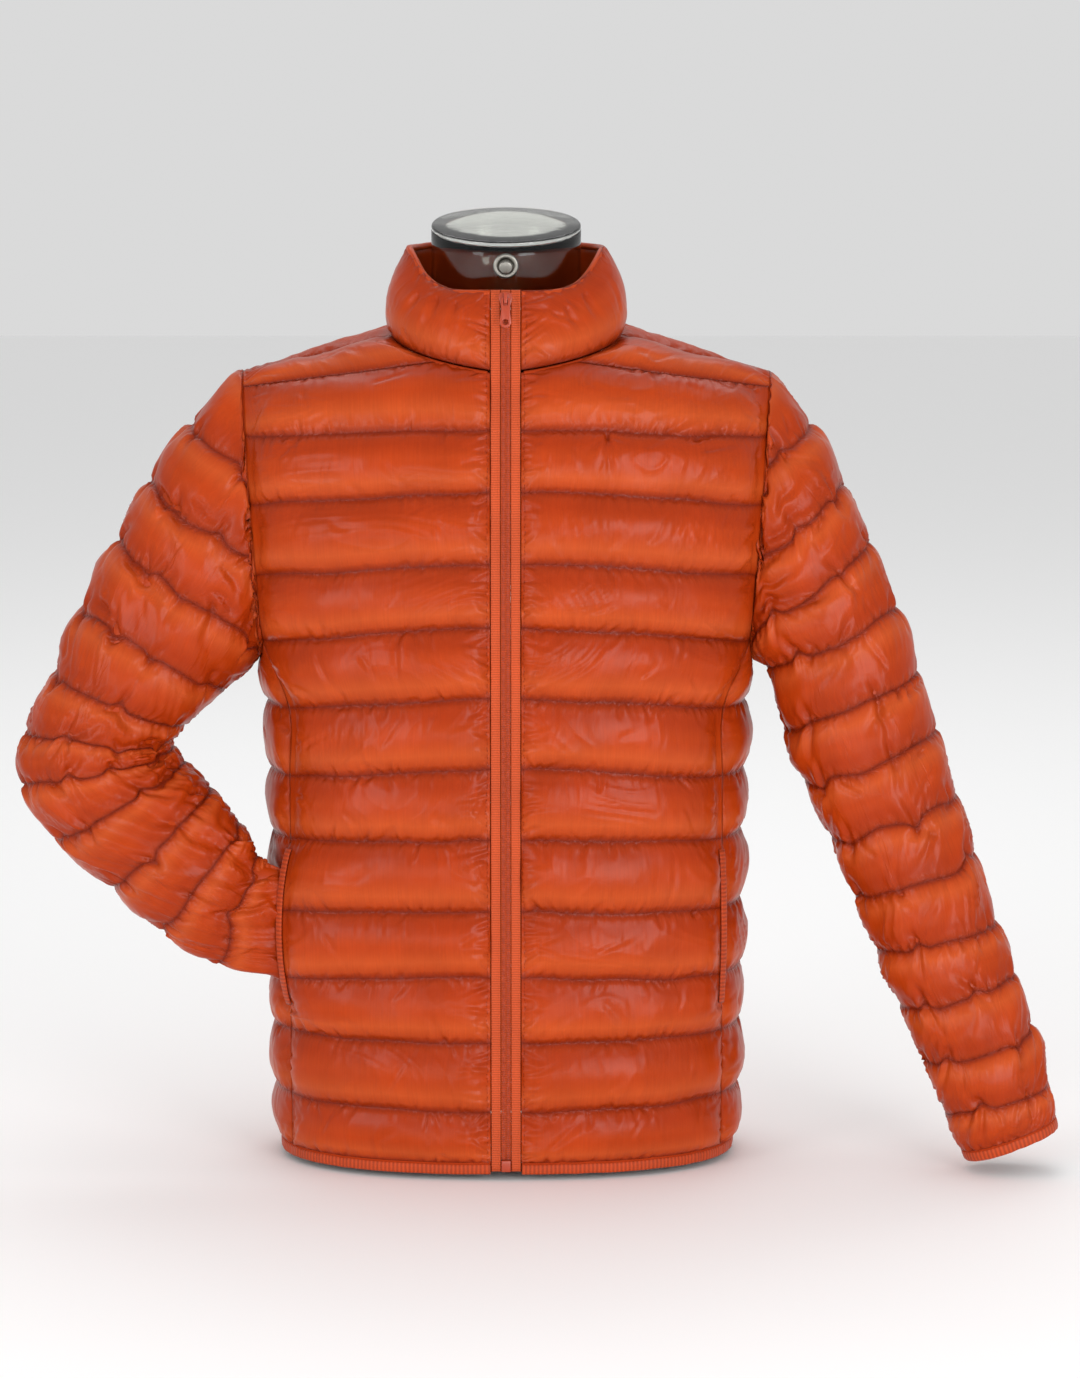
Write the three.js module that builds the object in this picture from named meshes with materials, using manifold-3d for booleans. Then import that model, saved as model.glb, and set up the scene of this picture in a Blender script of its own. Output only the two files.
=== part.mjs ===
// A light quilted down jacket worn by a clear, limbless bust form.
// Sizes are millimetres. +Z is up, the zip faces -Y, and the origin is the middle of the form's flat base.
// "left" and "right" are the wearer's own, so the left sleeve is at +X. The right cuff is tucked into its pocket.
import * as THREE from "three";
import { mergeVertices } from "three/addons/utils/BufferGeometryUtils.js";
import Module from "manifold-3d";

// Cloth
const clothHalf = 1; // the wall is 2 mm thick on a sewn line
const seamGap = 0.5; // between two pieces at a seam
const pieceGap = 0.4; // between two pieces that lie face to face
const bodyPuff = 12; // how far a filled channel stands out from its sewn lines
const sidePuff = 9;
const sleevePuff = 8;
const collarPuff = 13;
const puffRamp = 16; // a channel swells to its full height over this distance from a piece's edge
const channelSteps = 4; // rows of points to a channel

// Zip, which runs up the middle of the front from the hem to the top of the collar
const zipHalfWidth = 11.5;
const chainHalfWidth = 3.6;
const tapeThickness = 1.6;
const chainThickness = 2.8;
const chainForward = 0.4; // the chain stands this far in front of its tapes
const zipBottomZ = 7;
const zipBox = { depth: 5, height: 9 }; // the stop at the foot of the chain
const zipSteps = 22;
const slider = {
  z: 672,
  height: 11,
  halfWidth: 5.2,
  halfDepth: 1.9,
  chainGap: 0.3,
  bridgeHalfWidth: 1.2,
  bridgeGap: 2.3,
  bridgeThickness: 1,
  bridgeTop: 4.7,
  bridgeBottom: -3.2,
  post: 1.7,
  pinAbove: 0.6,
};
const pullTab = {
  topHalf: 3.4,
  lowHalf: 4.4,
  length: 22,
  holeRadius: 2.3,
  windowHalf: 1.75,
  windowTop: -0.7,
  windowHeight: 4.2,
  rim: 0.8,
  halfDepth: 0.75,
};

// Bindings
const bindingHeight = 8;
const bindingThickness = 3.2;
const pocketBindingWidth = 7;
const pocketBindingThickness = 1.8;

// Pocket mouths, in the seam between each front and side panel
const pocketBottomZ = 124;
const pocketTopZ = 252;
const sideSeamX = 166;

// Body, section by section: where the front and back lie at the middle, and the half width of the whole ring
const bodySections = [
  { z: 0, halfWidth: 176, front: -115, back: 106 },
  { z: 60, halfWidth: 179, front: -117, back: 108 },
  { z: 160, halfWidth: 181, front: -118, back: 108 },
  { z: 270, halfWidth: 181, front: -118, back: 110 },
  { z: 400, halfWidth: 186, front: -119, back: 116 },
  { z: 476, halfWidth: 196, front: -118, back: 119 },
  { z: 530, halfWidth: 202, front: -113, back: 117 },
  { z: 576, halfWidth: 206, front: -105, back: 110 },
  { z: 617, halfWidth: 208, front: -92, back: 92 },
];
const bodySquareness = 2.4; // exponent of the superellipse that a section follows

// Quilting lines of the body from the hem up: height at the zip, at a panel's outer edge, and at the middle of the back
const quiltLines = [
  { middle: 14, edge: 14, back: 14 },
  { middle: 54, edge: 56, back: 56 },
  { middle: 108, edge: 107, back: 107 },
  { middle: 159, edge: 151, back: 155 },
  { middle: 210, edge: 203, back: 207 },
  { middle: 265, edge: 257, back: 261 },
  { middle: 320, edge: 306, back: 313 },
  { middle: 374, edge: 359, back: 367 },
  { middle: 428, edge: 409, back: 420 },
  { middle: 476, edge: 461, back: 475 },
  { middle: 530, edge: 515, back: 533 },
  { middle: 576, edge: 566, back: 592 },
  { middle: 617, edge: 602, back: 655 },
  { middle: 641, edge: 612, back: 641 }, // the shoulder seam
];
const shoulderLine = quiltLines.length - 1;
const yokeLine = shoulderLine - 1;
const armpitLine = 8; // below this line a side panel closes the ring

// Armhole, an egg-shaped ring at the edge of the body
const armhole = {
  topX: 203,
  topY: 5,
  topZ: 612,
  lowX: 187,
  lowY: -8,
  lowZ: 398,
  frontDepth: 56,
  backDepth: 62,
  sideJoin: (30 * Math.PI) / 180, // the side panel closes this much of it either side of its lowest point
};

// Collar rings: an ellipse about (0, middleY), rising from front to back
const neckRing = { halfX: 87, middleY: -15, halfY: 77, frontZ: 617.5, rise: 38, ease: 0.66 };
const collarTop = { halfX: 74, middleY: -10, halfY: 68, frontZ: 680, rise: 30, from: 0.05, to: 0.46 };
const yokeStartX = 52; // the shoulder channel begins this far from the zip

// Sleeves, quilting line by quilting line: the section's outer and inner points seen from the front,
// how far back its middle is, and its half depth from front to back
const straightSleeve = [
  { outerX: 205, outerZ: 612, innerX: 152, innerZ: 530, middleY: 0, halfDepth: 58 },
  { outerX: 232, outerZ: 572, innerX: 160, innerZ: 484, middleY: 0, halfDepth: 61 },
  { outerX: 258, outerZ: 526, innerX: 170, innerZ: 438, middleY: -3, halfDepth: 61 },
  { outerX: 280, outerZ: 480, innerX: 182, innerZ: 405, middleY: -6, halfDepth: 59 },
  { outerX: 300, outerZ: 432, innerX: 203, innerZ: 384, middleY: -10, halfDepth: 57 },
  { outerX: 317, outerZ: 381, innerX: 217, innerZ: 339, middleY: -15, halfDepth: 55 },
  { outerX: 332, outerZ: 335, innerX: 233, innerZ: 297, middleY: -21, halfDepth: 53 },
  { outerX: 347, outerZ: 288, innerX: 254, innerZ: 254, middleY: -28, halfDepth: 51 },
  { outerX: 361, outerZ: 239, innerX: 272, innerZ: 211, middleY: -36, halfDepth: 49 },
  { outerX: 377, outerZ: 190, innerX: 289, innerZ: 168, middleY: -44, halfDepth: 47 },
  { outerX: 392, outerZ: 150, innerX: 307, innerZ: 125, middleY: -52, halfDepth: 45 },
  { outerX: 405, outerZ: 110, innerX: 325, innerZ: 83, middleY: -60, halfDepth: 42 },
  { outerX: 418, outerZ: 68, innerX: 341, innerZ: 44, middleY: -68, halfDepth: 38 },
  { outerX: 424, outerZ: 42, innerX: 353, innerZ: 16, middleY: -74, halfDepth: 31 },
];
const bentSleeve = [
  { outerX: 205, outerZ: 612, innerX: 150, innerZ: 520, middleY: 0, halfDepth: 58 },
  { outerX: 241, outerZ: 572, innerX: 160, innerZ: 462, middleY: 0, halfDepth: 61 },
  { outerX: 273, outerZ: 529, innerX: 168, innerZ: 426, middleY: -2, halfDepth: 61 },
  { outerX: 298, outerZ: 483, innerX: 186, innerZ: 402, middleY: -4, halfDepth: 60 },
  { outerX: 326, outerZ: 431, innerX: 219, innerZ: 368, middleY: -7, halfDepth: 59 },
  { outerX: 348, outerZ: 381, innerX: 252, innerZ: 340, middleY: -10, halfDepth: 58 },
  { outerX: 371, outerZ: 334, innerX: 262, innerZ: 328, middleY: -13, halfDepth: 57 },
  { outerX: 374, outerZ: 294, innerX: 261, innerZ: 321, middleY: -17, halfDepth: 56 },
  { outerX: 347, outerZ: 252, innerX: 251, innerZ: 309, middleY: -24, halfDepth: 53 },
  { outerX: 303, outerZ: 216, innerX: 230, innerZ: 291, middleY: -34, halfDepth: 50 },
  { outerX: 263, outerZ: 183, innerX: 208, innerZ: 266, middleY: -46, halfDepth: 40 },
  { outerX: 222, outerZ: 160, innerX: 193, innerZ: 242, middleY: -58, halfDepth: 20 },
  { outerX: 172, outerZ: 146, innerX: 166, innerZ: 229, middleY: -63, halfDepth: 5 },
  { outerX: 131, outerZ: 134, innerX: 124, innerZ: 209, middleY: -79, halfDepth: 9 },
];
const sleeveSquareness = 2.2;
const capLines = 3; // quilting lines that end on the armhole instead of going all round
const capBlend = 1.4; // the sleeve leaves the armhole's shape over this many channels
const clampStep = 0.012; // spacing, in channels, of rows gathered on the armhole

// Bust form, section by section
const formSections = [
  { z: 0, halfWidth: 150, front: -88, back: 84 },
  { z: 60, halfWidth: 152, front: -89, back: 86 },
  { z: 160, halfWidth: 145, front: -84, back: 82 },
  { z: 250, halfWidth: 136, front: -82, back: 80 },
  { z: 340, halfWidth: 148, front: -92, back: 90 },
  { z: 430, halfWidth: 166, front: -102, back: 100 },
  { z: 500, halfWidth: 176, front: -100, back: 102 },
  { z: 550, halfWidth: 180, front: -90, back: 95 },
  { z: 585, halfWidth: 182, front: -76, back: 82 },
  { z: 605, halfWidth: 179, front: -64, back: 70 },
  { z: 617, halfWidth: 160, front: -58, back: 62 },
  { z: 628, halfWidth: 124, front: -55, back: 56 },
  { z: 638, halfWidth: 86, front: -54, back: 52 },
  { z: 652, halfWidth: 67, front: -55, back: 50 },
  { z: 680, halfWidth: 58, front: -60, back: 46 },
];
const formSquareness = 2.2;
const formColumns = 28;
const neckCap = { radius: 57.5, middleY: -12, z: 727, tilt: (11 * Math.PI) / 180, thickness: 4 };
const neckBolt = { z: 698, radius: 5.5, length: 6 };

const colours = {
  shell: 0xd44a16,
  trim: 0xd9521c,
  clear: 0xdfe4e2,
  metal: 0x9a948a,
};
const shellCloth = new THREE.MeshStandardMaterial({ color: colours.shell, roughness: 0.45, metalness: 0 });
const trimCloth = new THREE.MeshStandardMaterial({ color: colours.trim, roughness: 0.7, metalness: 0 });
const clearPlastic = new THREE.MeshStandardMaterial({
  color: colours.clear,
  roughness: 0.08,
  metalness: 0,
  transparent: true,
  opacity: 0.35,
});
const boltMetal = new THREE.MeshStandardMaterial({ color: colours.metal, roughness: 0.3, metalness: 1 });

const jacket = new THREE.Group();
const library = await Module();
library.setup();
const { Manifold, Mesh } = library;

// Small helpers

const lerp = THREE.MathUtils.lerp;
const clamp01 = (value) => Math.min(1, Math.max(0, value));
const smooth = (value) => {
  const t = clamp01(value);
  return t * t * (3 - 2 * t);
};
const point = (x, y, z) => new THREE.Vector3(x, y, z);

// One Catmull-Rom step through four numbers
function curveThrough(before, from, to, after, t) {
  const startSlope = (to - before) / 2;
  const endSlope = (after - from) / 2;
  const t2 = t * t;
  const t3 = t2 * t;
  const fromShare = 2 * t3 - 3 * t2 + 1;
  const toShare = 3 * t2 - 2 * t3;
  return fromShare * from + (t3 - 2 * t2 + t) * startSlope + toShare * to + (t3 - t2) * endSlope;
}

// Every column of a table, at a place counted in rows
function tableAt(table, place) {
  const last = table.length - 1;
  const row = Math.min(last - 1, Math.max(0, Math.floor(place)));
  const found = {};
  for (const key of Object.keys(table[0])) {
    const before = table[Math.max(0, row - 1)][key];
    const after = table[Math.min(last, row + 2)][key];
    found[key] = curveThrough(before, table[row][key], table[row + 1][key], after, place - row);
  }
  return found;
}

// Where a height lies in a table of sections, counted in rows
function placeOfHeight(table, z) {
  let row = 0;
  while (row < table.length - 2 && table[row + 1].z < z) row += 1;
  return row + clamp01((z - table[row].z) / (table[row + 1].z - table[row].z));
}

const sectionAt = (table, z) => tableAt(table, placeOfHeight(table, z));

const signedPower = (value, power) => Math.sign(value) * Math.abs(value) ** power;

// How far a superellipse with these half axes has come in at x
function superellipseDepth(x, halfWidth, depth, squareness) {
  return depth * (1 - Math.min(1, Math.abs(x) / halfWidth) ** squareness) ** (1 / squareness);
}

// Walls: a grid of base points becomes a closed wall with a puffed outside and a plain inside

// The base points, given at each quilting line, with smooth rows between the lines
function fillRows(lines, steps) {
  const rows = [];
  const last = lines.length - 1;
  for (let line = 0; line < last; line += 1) {
    for (let step = 0; step < steps; step += 1) {
      const t = step / steps;
      rows.push(
        lines[line].map((from, column) => {
          const to = lines[line + 1][column];
          const before = lines[Math.max(0, line - 1)][column] ?? from;
          const after = lines[Math.min(last, line + 2)][column];
          return point(
            curveThrough(before.x, from.x, to.x, after.x, t),
            curveThrough(before.y, from.y, to.y, after.y, t),
            curveThrough(before.z, from.z, to.z, after.z, t),
          );
        }),
      );
    }
  }
  rows.push(lines[last].map((p) => p.clone()));
  return rows;
}

// Outward directions of a grid whose columns run anticlockwise seen from its upper end
function gridNormals(rows, closed) {
  const columns = rows[0].length;
  return rows.map((row, i) =>
    row.map((_, j) => {
      const left = closed ? (j + columns - 1) % columns : Math.max(0, j - 1);
      const right = closed ? (j + 1) % columns : Math.min(columns - 1, j + 1);
      const across = row[right].clone().sub(row[left]);
      const up = rows[Math.min(rows.length - 1, i + 1)][j].clone().sub(rows[Math.max(0, i - 1)][j]);
      return across.cross(up).normalize();
    }),
  );
}

// Builds the wall. present(channel, column) leaves cells out, normalAt(i, j) sets a direction the grid can't know,
// and innerRows "all" makes the inside follow every row instead of going straight from one sewn line to the next.
function wallGeometry(rows, options = {}) {
  const { closed = false, steps = 1, half = clothHalf, innerRows = "lines" } = options;
  const { puff = () => 0, present = () => true, normalAt = () => null } = options;
  const normals = gridNormals(rows, closed);
  const columns = rows[0].length;
  const cells = closed ? columns : columns - 1;
  const channels = (rows.length - 1) / steps;
  const innerStep = innerRows === "all" ? 1 : steps;
  const positions = [];
  const indices = [];
  const known = new Map();
  const vertex = (side, i, j) => {
    const column = j % columns;
    const key = `${side}:${i}:${column}`;
    if (!known.has(key)) {
      const away = side === "outer" ? half + puff(i, column) : -half;
      const p = rows[i][column].clone().addScaledVector(normalAt(i, column) ?? normals[i][column], away);
      known.set(key, positions.length / 3);
      positions.push(p.x, p.y, p.z);
    }
    return known.get(key);
  };
  const outer = (i, j) => vertex("outer", i, j);
  const inner = (i, j) => vertex("inner", i, j);
  const face = (a, b, c) => indices.push(a, b, c);
  const quad = (a, b, c, d) => {
    face(a, b, c);
    face(a, c, d);
  };
  const here = (channel, cell) => {
    if (channel < 0 || channel >= channels) return false;
    if (!closed && (cell < 0 || cell >= cells)) return false;
    return present(channel, closed ? (cell + cells) % cells : cell);
  };
  for (let channel = 0; channel < channels; channel += 1) {
    const low = channel * steps;
    const high = low + steps;
    for (let cell = 0; cell < cells; cell += 1) {
      if (!here(channel, cell)) continue;
      const openRight = !here(channel, cell + 1);
      const openLeft = !here(channel, cell - 1);
      for (let i = low; i < high; i += 1) {
        quad(outer(i, cell), outer(i, cell + 1), outer(i + 1, cell + 1), outer(i + 1, cell));
      }
      for (let i = low; i < high; i += innerStep) {
        const next = i + innerStep;
        quad(inner(i, cell), inner(next, cell), inner(next, cell + 1), inner(i, cell + 1));
        if (openRight) {
          face(inner(i, cell + 1), inner(next, cell + 1), outer(next, cell + 1));
          for (let k = next; k > i; k -= 1) face(inner(i, cell + 1), outer(k, cell + 1), outer(k - 1, cell + 1));
        }
        if (openLeft) {
          for (let k = i; k < next; k += 1) face(inner(i, cell), outer(k, cell), outer(k + 1, cell));
          face(inner(i, cell), outer(next, cell), inner(next, cell));
        }
      }
      if (!here(channel - 1, cell)) {
        quad(outer(low, cell + 1), outer(low, cell), inner(low, cell), inner(low, cell + 1));
      }
      if (!here(channel + 1, cell)) {
        quad(outer(high, cell), outer(high, cell + 1), inner(high, cell + 1), inner(high, cell));
      }
    }
  }
  const geometry = new THREE.BufferGeometry();
  geometry.setAttribute("position", new THREE.Float32BufferAttribute(positions, 3));
  geometry.setIndex(indices);
  return geometry;
}

function addPiece(name, geometry, material) {
  const mesh = new THREE.Mesh(geometry, material);
  mesh.name = name;
  geometry.computeVertexNormals();
  jacket.add(mesh);
  return mesh;
}

// A channel's height across its own width: nothing on its two sewn lines, full between them
const channelSwell = (row, steps) => Math.sin((Math.PI * (row % steps)) / steps) ** 0.7;

// How much of its height a channel keeps near a piece's edge
const edgeSwell = (distance, flat = 0) => smooth((distance - flat) / puffRamp) ** 0.6;

// Distance along a row from one of its ends, for every column
function distancesAlong(row) {
  const along = [0];
  for (let j = 1; j < row.length; j += 1) along.push(along[j - 1] + row[j].distanceTo(row[j - 1]));
  return along;
}

// Shape of the body

// The armhole at an angle from its top: a quarter turn is the front, a half turn the lowest point
function armholePoint(side, angle) {
  const up = (1 + Math.cos(angle)) / 2;
  const swing = Math.sin(angle);
  const depth = swing > 0 ? armhole.frontDepth : armhole.backDepth;
  return point(
    side * lerp(armhole.lowX, armhole.topX, up),
    lerp(armhole.lowY, armhole.topY, up) - depth * signedPower(swing, 0.85),
    lerp(armhole.lowZ, armhole.topZ, up),
  );
}

// The armhole's seam at an angle: its point, the direction both walls stand out in there, and the way to the sleeve
function armholeSeam(side, angle) {
  const middle = point(0, (armhole.lowY + armhole.topY) / 2, (armhole.lowZ + armhole.topZ) / 2);
  const at = armholePoint(side, angle);
  const radial = point(0, at.y - middle.y, at.z - middle.z).normalize();
  const out = radial.clone().add(point(0.4 * side, 0, 0)).normalize();
  const toSleeve = point(side, 0, 0).addScaledVector(out, -side * out.x).normalize();
  return { at, out, toSleeve };
}

const armholeAngleAt = (z) =>
  Math.acos(Math.min(1, Math.max(-1, (2 * (z - armhole.lowZ)) / (armhole.topZ - armhole.lowZ) - 1)));

// A collar ring at an angle from the front
function collarRing(ring, angle) {
  // the neck seam rises all the way round, and the collar's top only from its front corners to its sides
  const share = (1 - Math.cos(angle)) / 2;
  const risen = ring.ease ? share ** ring.ease : smooth((share - ring.from) / (ring.to - ring.from));
  return point(
    ring.halfX * Math.sin(angle),
    ring.middleY - ring.halfY * Math.cos(angle),
    ring.frontZ + ring.rise * risen,
  );
}

// How far a pocket mouth is open at a height, from 0 to 1
function pocketOpen(z) {
  const t = (z - pocketBottomZ) / (pocketTopZ - pocketBottomZ);
  return t <= 0 || t >= 1 ? 0 : Math.sin(Math.PI * t) ** 0.6;
}

const mouthLift = { right: { front: 16, side: -9 }, left: { front: 4, side: -2 } };

// Moves a point of a panel away from the body where the pocket mouth opens
function openPocket(p, amount) {
  const away = point(p.x * 0.6, p.y * 2.2, 0).normalize();
  return p.addScaledVector(away, amount);
}

// A panel's armhole edge, held back from the seam
function armholeEdge(side, angle) {
  const seam = armholeSeam(side, angle);
  return seam.at.addScaledVector(seam.toSleeve, -seamGap / 2);
}

// Outer edge of a front at a quilting line
function frontEdge(side, line) {
  if (line >= armpitLine) return armholeEdge(side, line === shoulderLine ? 0 : armholeAngleAt(quiltLines[line].edge));
  const z = quiltLines[line].edge;
  const section = sectionAt(bodySections, z);
  const y = -superellipseDepth(sideSeamX, section.halfWidth, -section.front, bodySquareness);
  return point(side * sideSeamX, y, z);
}

// One quilting line of a front, at shares of the way from the zip to the outer edge
function frontLine(side, line, share) {
  const edge = frontEdge(side, line);
  const middle = sectionAt(bodySections, Math.min(617, quiltLines[line].middle));
  const reach = Math.abs(edge.x);
  const bend = 1 - Math.min(0.995, edge.y / middle.front) ** bodySquareness;
  const halfWidth = reach / bend ** (1 / bodySquareness);
  const x = lerp(zipHalfWidth + seamGap / 2, reach, share);
  const y = -superellipseDepth(x, halfWidth, -middle.front, bodySquareness);
  const z = lerp(quiltLines[line].middle, edge.z, share ** 1.6);
  return point(side * x, y, z);
}

// The two top lines of a front, which meet the neckline
function yokePoint(side, line, share, yokeShare) {
  const edge = frontEdge(side, line);
  if (line === yokeLine) {
    const reach = Math.abs(edge.x);
    const x = lerp(zipHalfWidth + seamGap / 2, reach, share);
    const neckAngle = Math.asin(Math.min(x, yokeStartX) / neckRing.halfX);
    const onNeck = collarRing(neckRing, neckAngle);
    const across = clamp01((x - yokeStartX) / (reach - yokeStartX));
    const y = lerp(onNeck.y, edge.y, across ** 1.5);
    return point(side * x, y, lerp(onNeck.z, edge.z, across));
  }
  const neck = collarRing(neckRing, Math.PI / 2);
  const across = clamp01((share - yokeShare) / (1 - yokeShare));
  const drop = 1 - (1 - across) ** 1.2;
  return point(side * lerp(neck.x, Math.abs(edge.x), across), lerp(neck.y, edge.y, across), lerp(neck.z, edge.z, drop));
}

// Front panels

const frontShares = [0, 0.05, 0.16, 0.27, 0.45, 0.62, 0.78, 0.89, 0.955, 1];
const yokeColumn = 3; // the shoulder channel starts at this column
const edgeInset = 0.35; // a panel stops this far short of a seam it shares with the next panel
const yokeRow = yokeLine * channelSteps;
const armpitRow = armpitLine * channelSteps;

// A front's points, from the zip outwards, before its pocket mouth is opened
function frontBase(side) {
  const lines = quiltLines.map((_, line) =>
    frontShares.map((share) =>
      line < yokeLine ? frontLine(side, line, share) : yokePoint(side, line, share, frontShares[yokeColumn]),
    ),
  );
  for (let column = 0; column < yokeColumn; column += 1) {
    const top = lines[yokeLine][column];
    lines[shoulderLine][column] = top.clone().lerp(lines[yokeLine - 1][column], -0.5);
  }
  const rows = fillRows(lines, channelSteps);
  const startAngle = Math.asin(yokeStartX / neckRing.halfX);
  for (let i = yokeRow; i < rows.length; i += 1) {
    const onNeck = collarRing(neckRing, lerp(startAngle, Math.PI / 2, (i - yokeRow) / channelSteps));
    rows[i][yokeColumn].set(side * onNeck.x, onNeck.y, onNeck.z);
  }
  const last = frontShares.length - 1;
  setEdge(rows, last, last - 1, side, false);
  return rows;
}

// Height of a row's outer edge
function edgeHeight(i) {
  const line = Math.min(shoulderLine - 1, Math.floor(i / channelSteps));
  return lerp(quiltLines[line].edge, quiltLines[line + 1].edge, i / channelSteps - line);
}

// Sets one edge of a panel: held back from the seam below the armpit, and on the armhole above it
function setEdge(rows, edge, next, side, behind) {
  rows.forEach((row, i) => {
    if (i < armpitRow) {
      row[edge].add(row[next].clone().sub(row[edge]).setLength(edgeInset));
      return;
    }
    const angle = armholeAngleAt(edgeHeight(i));
    row[edge].copy(armholeEdge(side, behind ? -angle : angle));
  });
}

const fromLeft = (rows, side) => (side > 0 ? rows : rows.map((row) => [...row].reverse()));

// The way the armhole edge of a panel stands out, by the edge point's height
function armholeOut(side, z, behind) {
  const angle = armholeAngleAt(Math.min(armhole.topZ, Math.max(armhole.lowZ, z)));
  return armholeSeam(side, behind ? -angle : angle).out;
}

function addFront(name, side, base) {
  const rows = fromLeft(base, side).map((row) => row.map((p) => p.clone()));
  const last = frontShares.length - 1;
  const fromZip = (j) => (side > 0 ? j : last - j);
  const lift = side < 0 ? mouthLift.right.front : mouthLift.left.front;
  for (const row of rows) {
    row.forEach((p, j) => {
      const nearEdge = smooth((frontShares[fromZip(j)] - 0.45) / 0.55) ** 1.4;
      openPocket(p, lift * pocketOpen(p.z) * nearEdge);
    });
  }
  const along = rows.map(distancesAlong);
  const puff = (i, j) => {
    const whole = along[i][last];
    const start = i > yokeRow ? along[i][side > 0 ? yokeColumn : last - yokeColumn] : along[i][side > 0 ? 0 : last];
    const inside = Math.abs(along[i][j] - start);
    const outside = side > 0 ? whole - along[i][j] : along[i][j];
    const mouthFlat = pocketOpen(rows[i][j].z) > 0 ? pocketBindingWidth + 5 : 0;
    const neckFlat = i > yokeRow ? 6 : 0;
    return bodyPuff * channelSwell(i, channelSteps) * edgeSwell(inside, neckFlat) * edgeSwell(outside, mouthFlat);
  };
  const present = (channel, cell) => channel < yokeLine || (side > 0 ? cell : last - 1 - cell) >= yokeColumn;
  const normalAt = (i, j) => (fromZip(j) === last && i >= armpitRow ? armholeOut(side, rows[i][j].z, false) : null);
  const options = { steps: channelSteps, puff, present, normalAt, innerRows: "all" };
  addPiece(name, wallGeometry(rows, options), shellCloth);
  return rows;
}

// Side panels, from the front's side seam to the back's

const sideColumns = 6;

function ringPoint(section, angle) {
  const depth = Math.sin(angle) < 0 ? -section.front : section.back;
  const power = 2 / bodySquareness;
  return point(section.halfWidth * signedPower(Math.cos(angle), power), depth * signedPower(Math.sin(angle), power), 0);
}

// The ring's angle where it passes the side seam, on the front or back half
function seamAngle(section) {
  return Math.acos((sideSeamX / section.halfWidth) ** (bodySquareness / 2));
}

function sideLine(side, line) {
  const z = quiltLines[line].edge;
  const made = [];
  for (let step = 0; step <= sideColumns; step += 1) {
    const share = step / sideColumns;
    if (line === armpitLine) {
      const join = armholeAngleAt(z);
      made.push(armholeEdge(side, lerp(join, 2 * Math.PI - join, share)));
      continue;
    }
    const section = sectionAt(bodySections, z);
    const join = seamAngle(section);
    const p = ringPoint(section, lerp(-join, join, share));
    made.push(point(side * p.x, p.y, z));
  }
  return made;
}

// A side panel shares its long edges with the front and the back
function addSide(name, side, front, back) {
  const lines = [];
  for (let line = 0; line <= armpitLine; line += 1) lines.push(sideLine(side, line));
  const rows = fillRows(lines, channelSteps);
  const lift = side < 0 ? mouthLift.right.side : mouthLift.left.side;
  rows.forEach((row, i) => {
    const frontEdgePoint = front[i][front[i].length - 1];
    const backEdgePoint = back[i][side > 0 ? 0 : back[i].length - 1];
    const inset = i < armpitRow ? 2 * edgeInset : 0;
    row[0].copy(frontEdgePoint).add(row[1].clone().sub(frontEdgePoint).setLength(inset));
    const next = row[sideColumns - 1].clone().sub(backEdgePoint).setLength(inset);
    row[sideColumns].copy(backEdgePoint).add(next);
    row.forEach((p, column) => {
      const nearMouth = 1 - smooth(column / (0.6 * sideColumns));
      openPocket(p, lift * pocketOpen(p.z) * nearMouth);
    });
  });
  const last = rows[armpitRow];
  for (const end of [0, sideColumns]) last[end].lerp(last[end === 0 ? 1 : sideColumns - 1], 0.02);
  const turned = fromLeft(rows, side);
  const along = turned.map(distancesAlong);
  const puff = (i, j) => {
    const whole = along[i][sideColumns];
    const nearest = Math.min(along[i][j], whole - along[i][j]);
    const fromFront = side > 0 ? along[i][j] : whole - along[i][j];
    const mouth = 1 - pocketOpen(turned[i][j].z) * (side < 0 ? 1 : 0) * (1 - smooth(fromFront / 60));
    const underArm = i > armpitRow - channelSteps ? 0.45 : 1;
    return sidePuff * channelSwell(i, channelSteps) * edgeSwell(nearest) * mouth * underArm;
  };
  const normalAt = (i, j) => {
    if (i < armpitRow) return null;
    const join = armholeAngleAt(quiltLines[armpitLine].edge);
    const share = (side > 0 ? j : sideColumns - j) / sideColumns;
    return armholeSeam(side, lerp(join, 2 * Math.PI - join, share)).out;
  };
  addPiece(name, wallGeometry(turned, { steps: channelSteps, puff, normalAt, innerRows: "all" }), shellCloth);
}

// Back panel, in one piece from side seam to side seam

const backShares = [-1, -0.96, -0.86, -0.7, -0.52, -0.34, -0.17, 0, 0.17, 0.34, 0.52, 0.7, 0.86, 0.96, 1];
const shoulderOverlap = 1.2; // the back lies this far behind the shoulder seam's line
const backNeckColumns = [5, 9]; // between these columns the panel ends on the neckline

function backEdge(side, line) {
  if (line >= armpitLine) return armholeEdge(side, line === shoulderLine ? 0 : -armholeAngleAt(quiltLines[line].edge));
  const z = quiltLines[line].edge;
  const section = sectionAt(bodySections, z);
  return point(side * sideSeamX, superellipseDepth(sideSeamX, section.halfWidth, section.back, bodySquareness), z);
}

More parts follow.
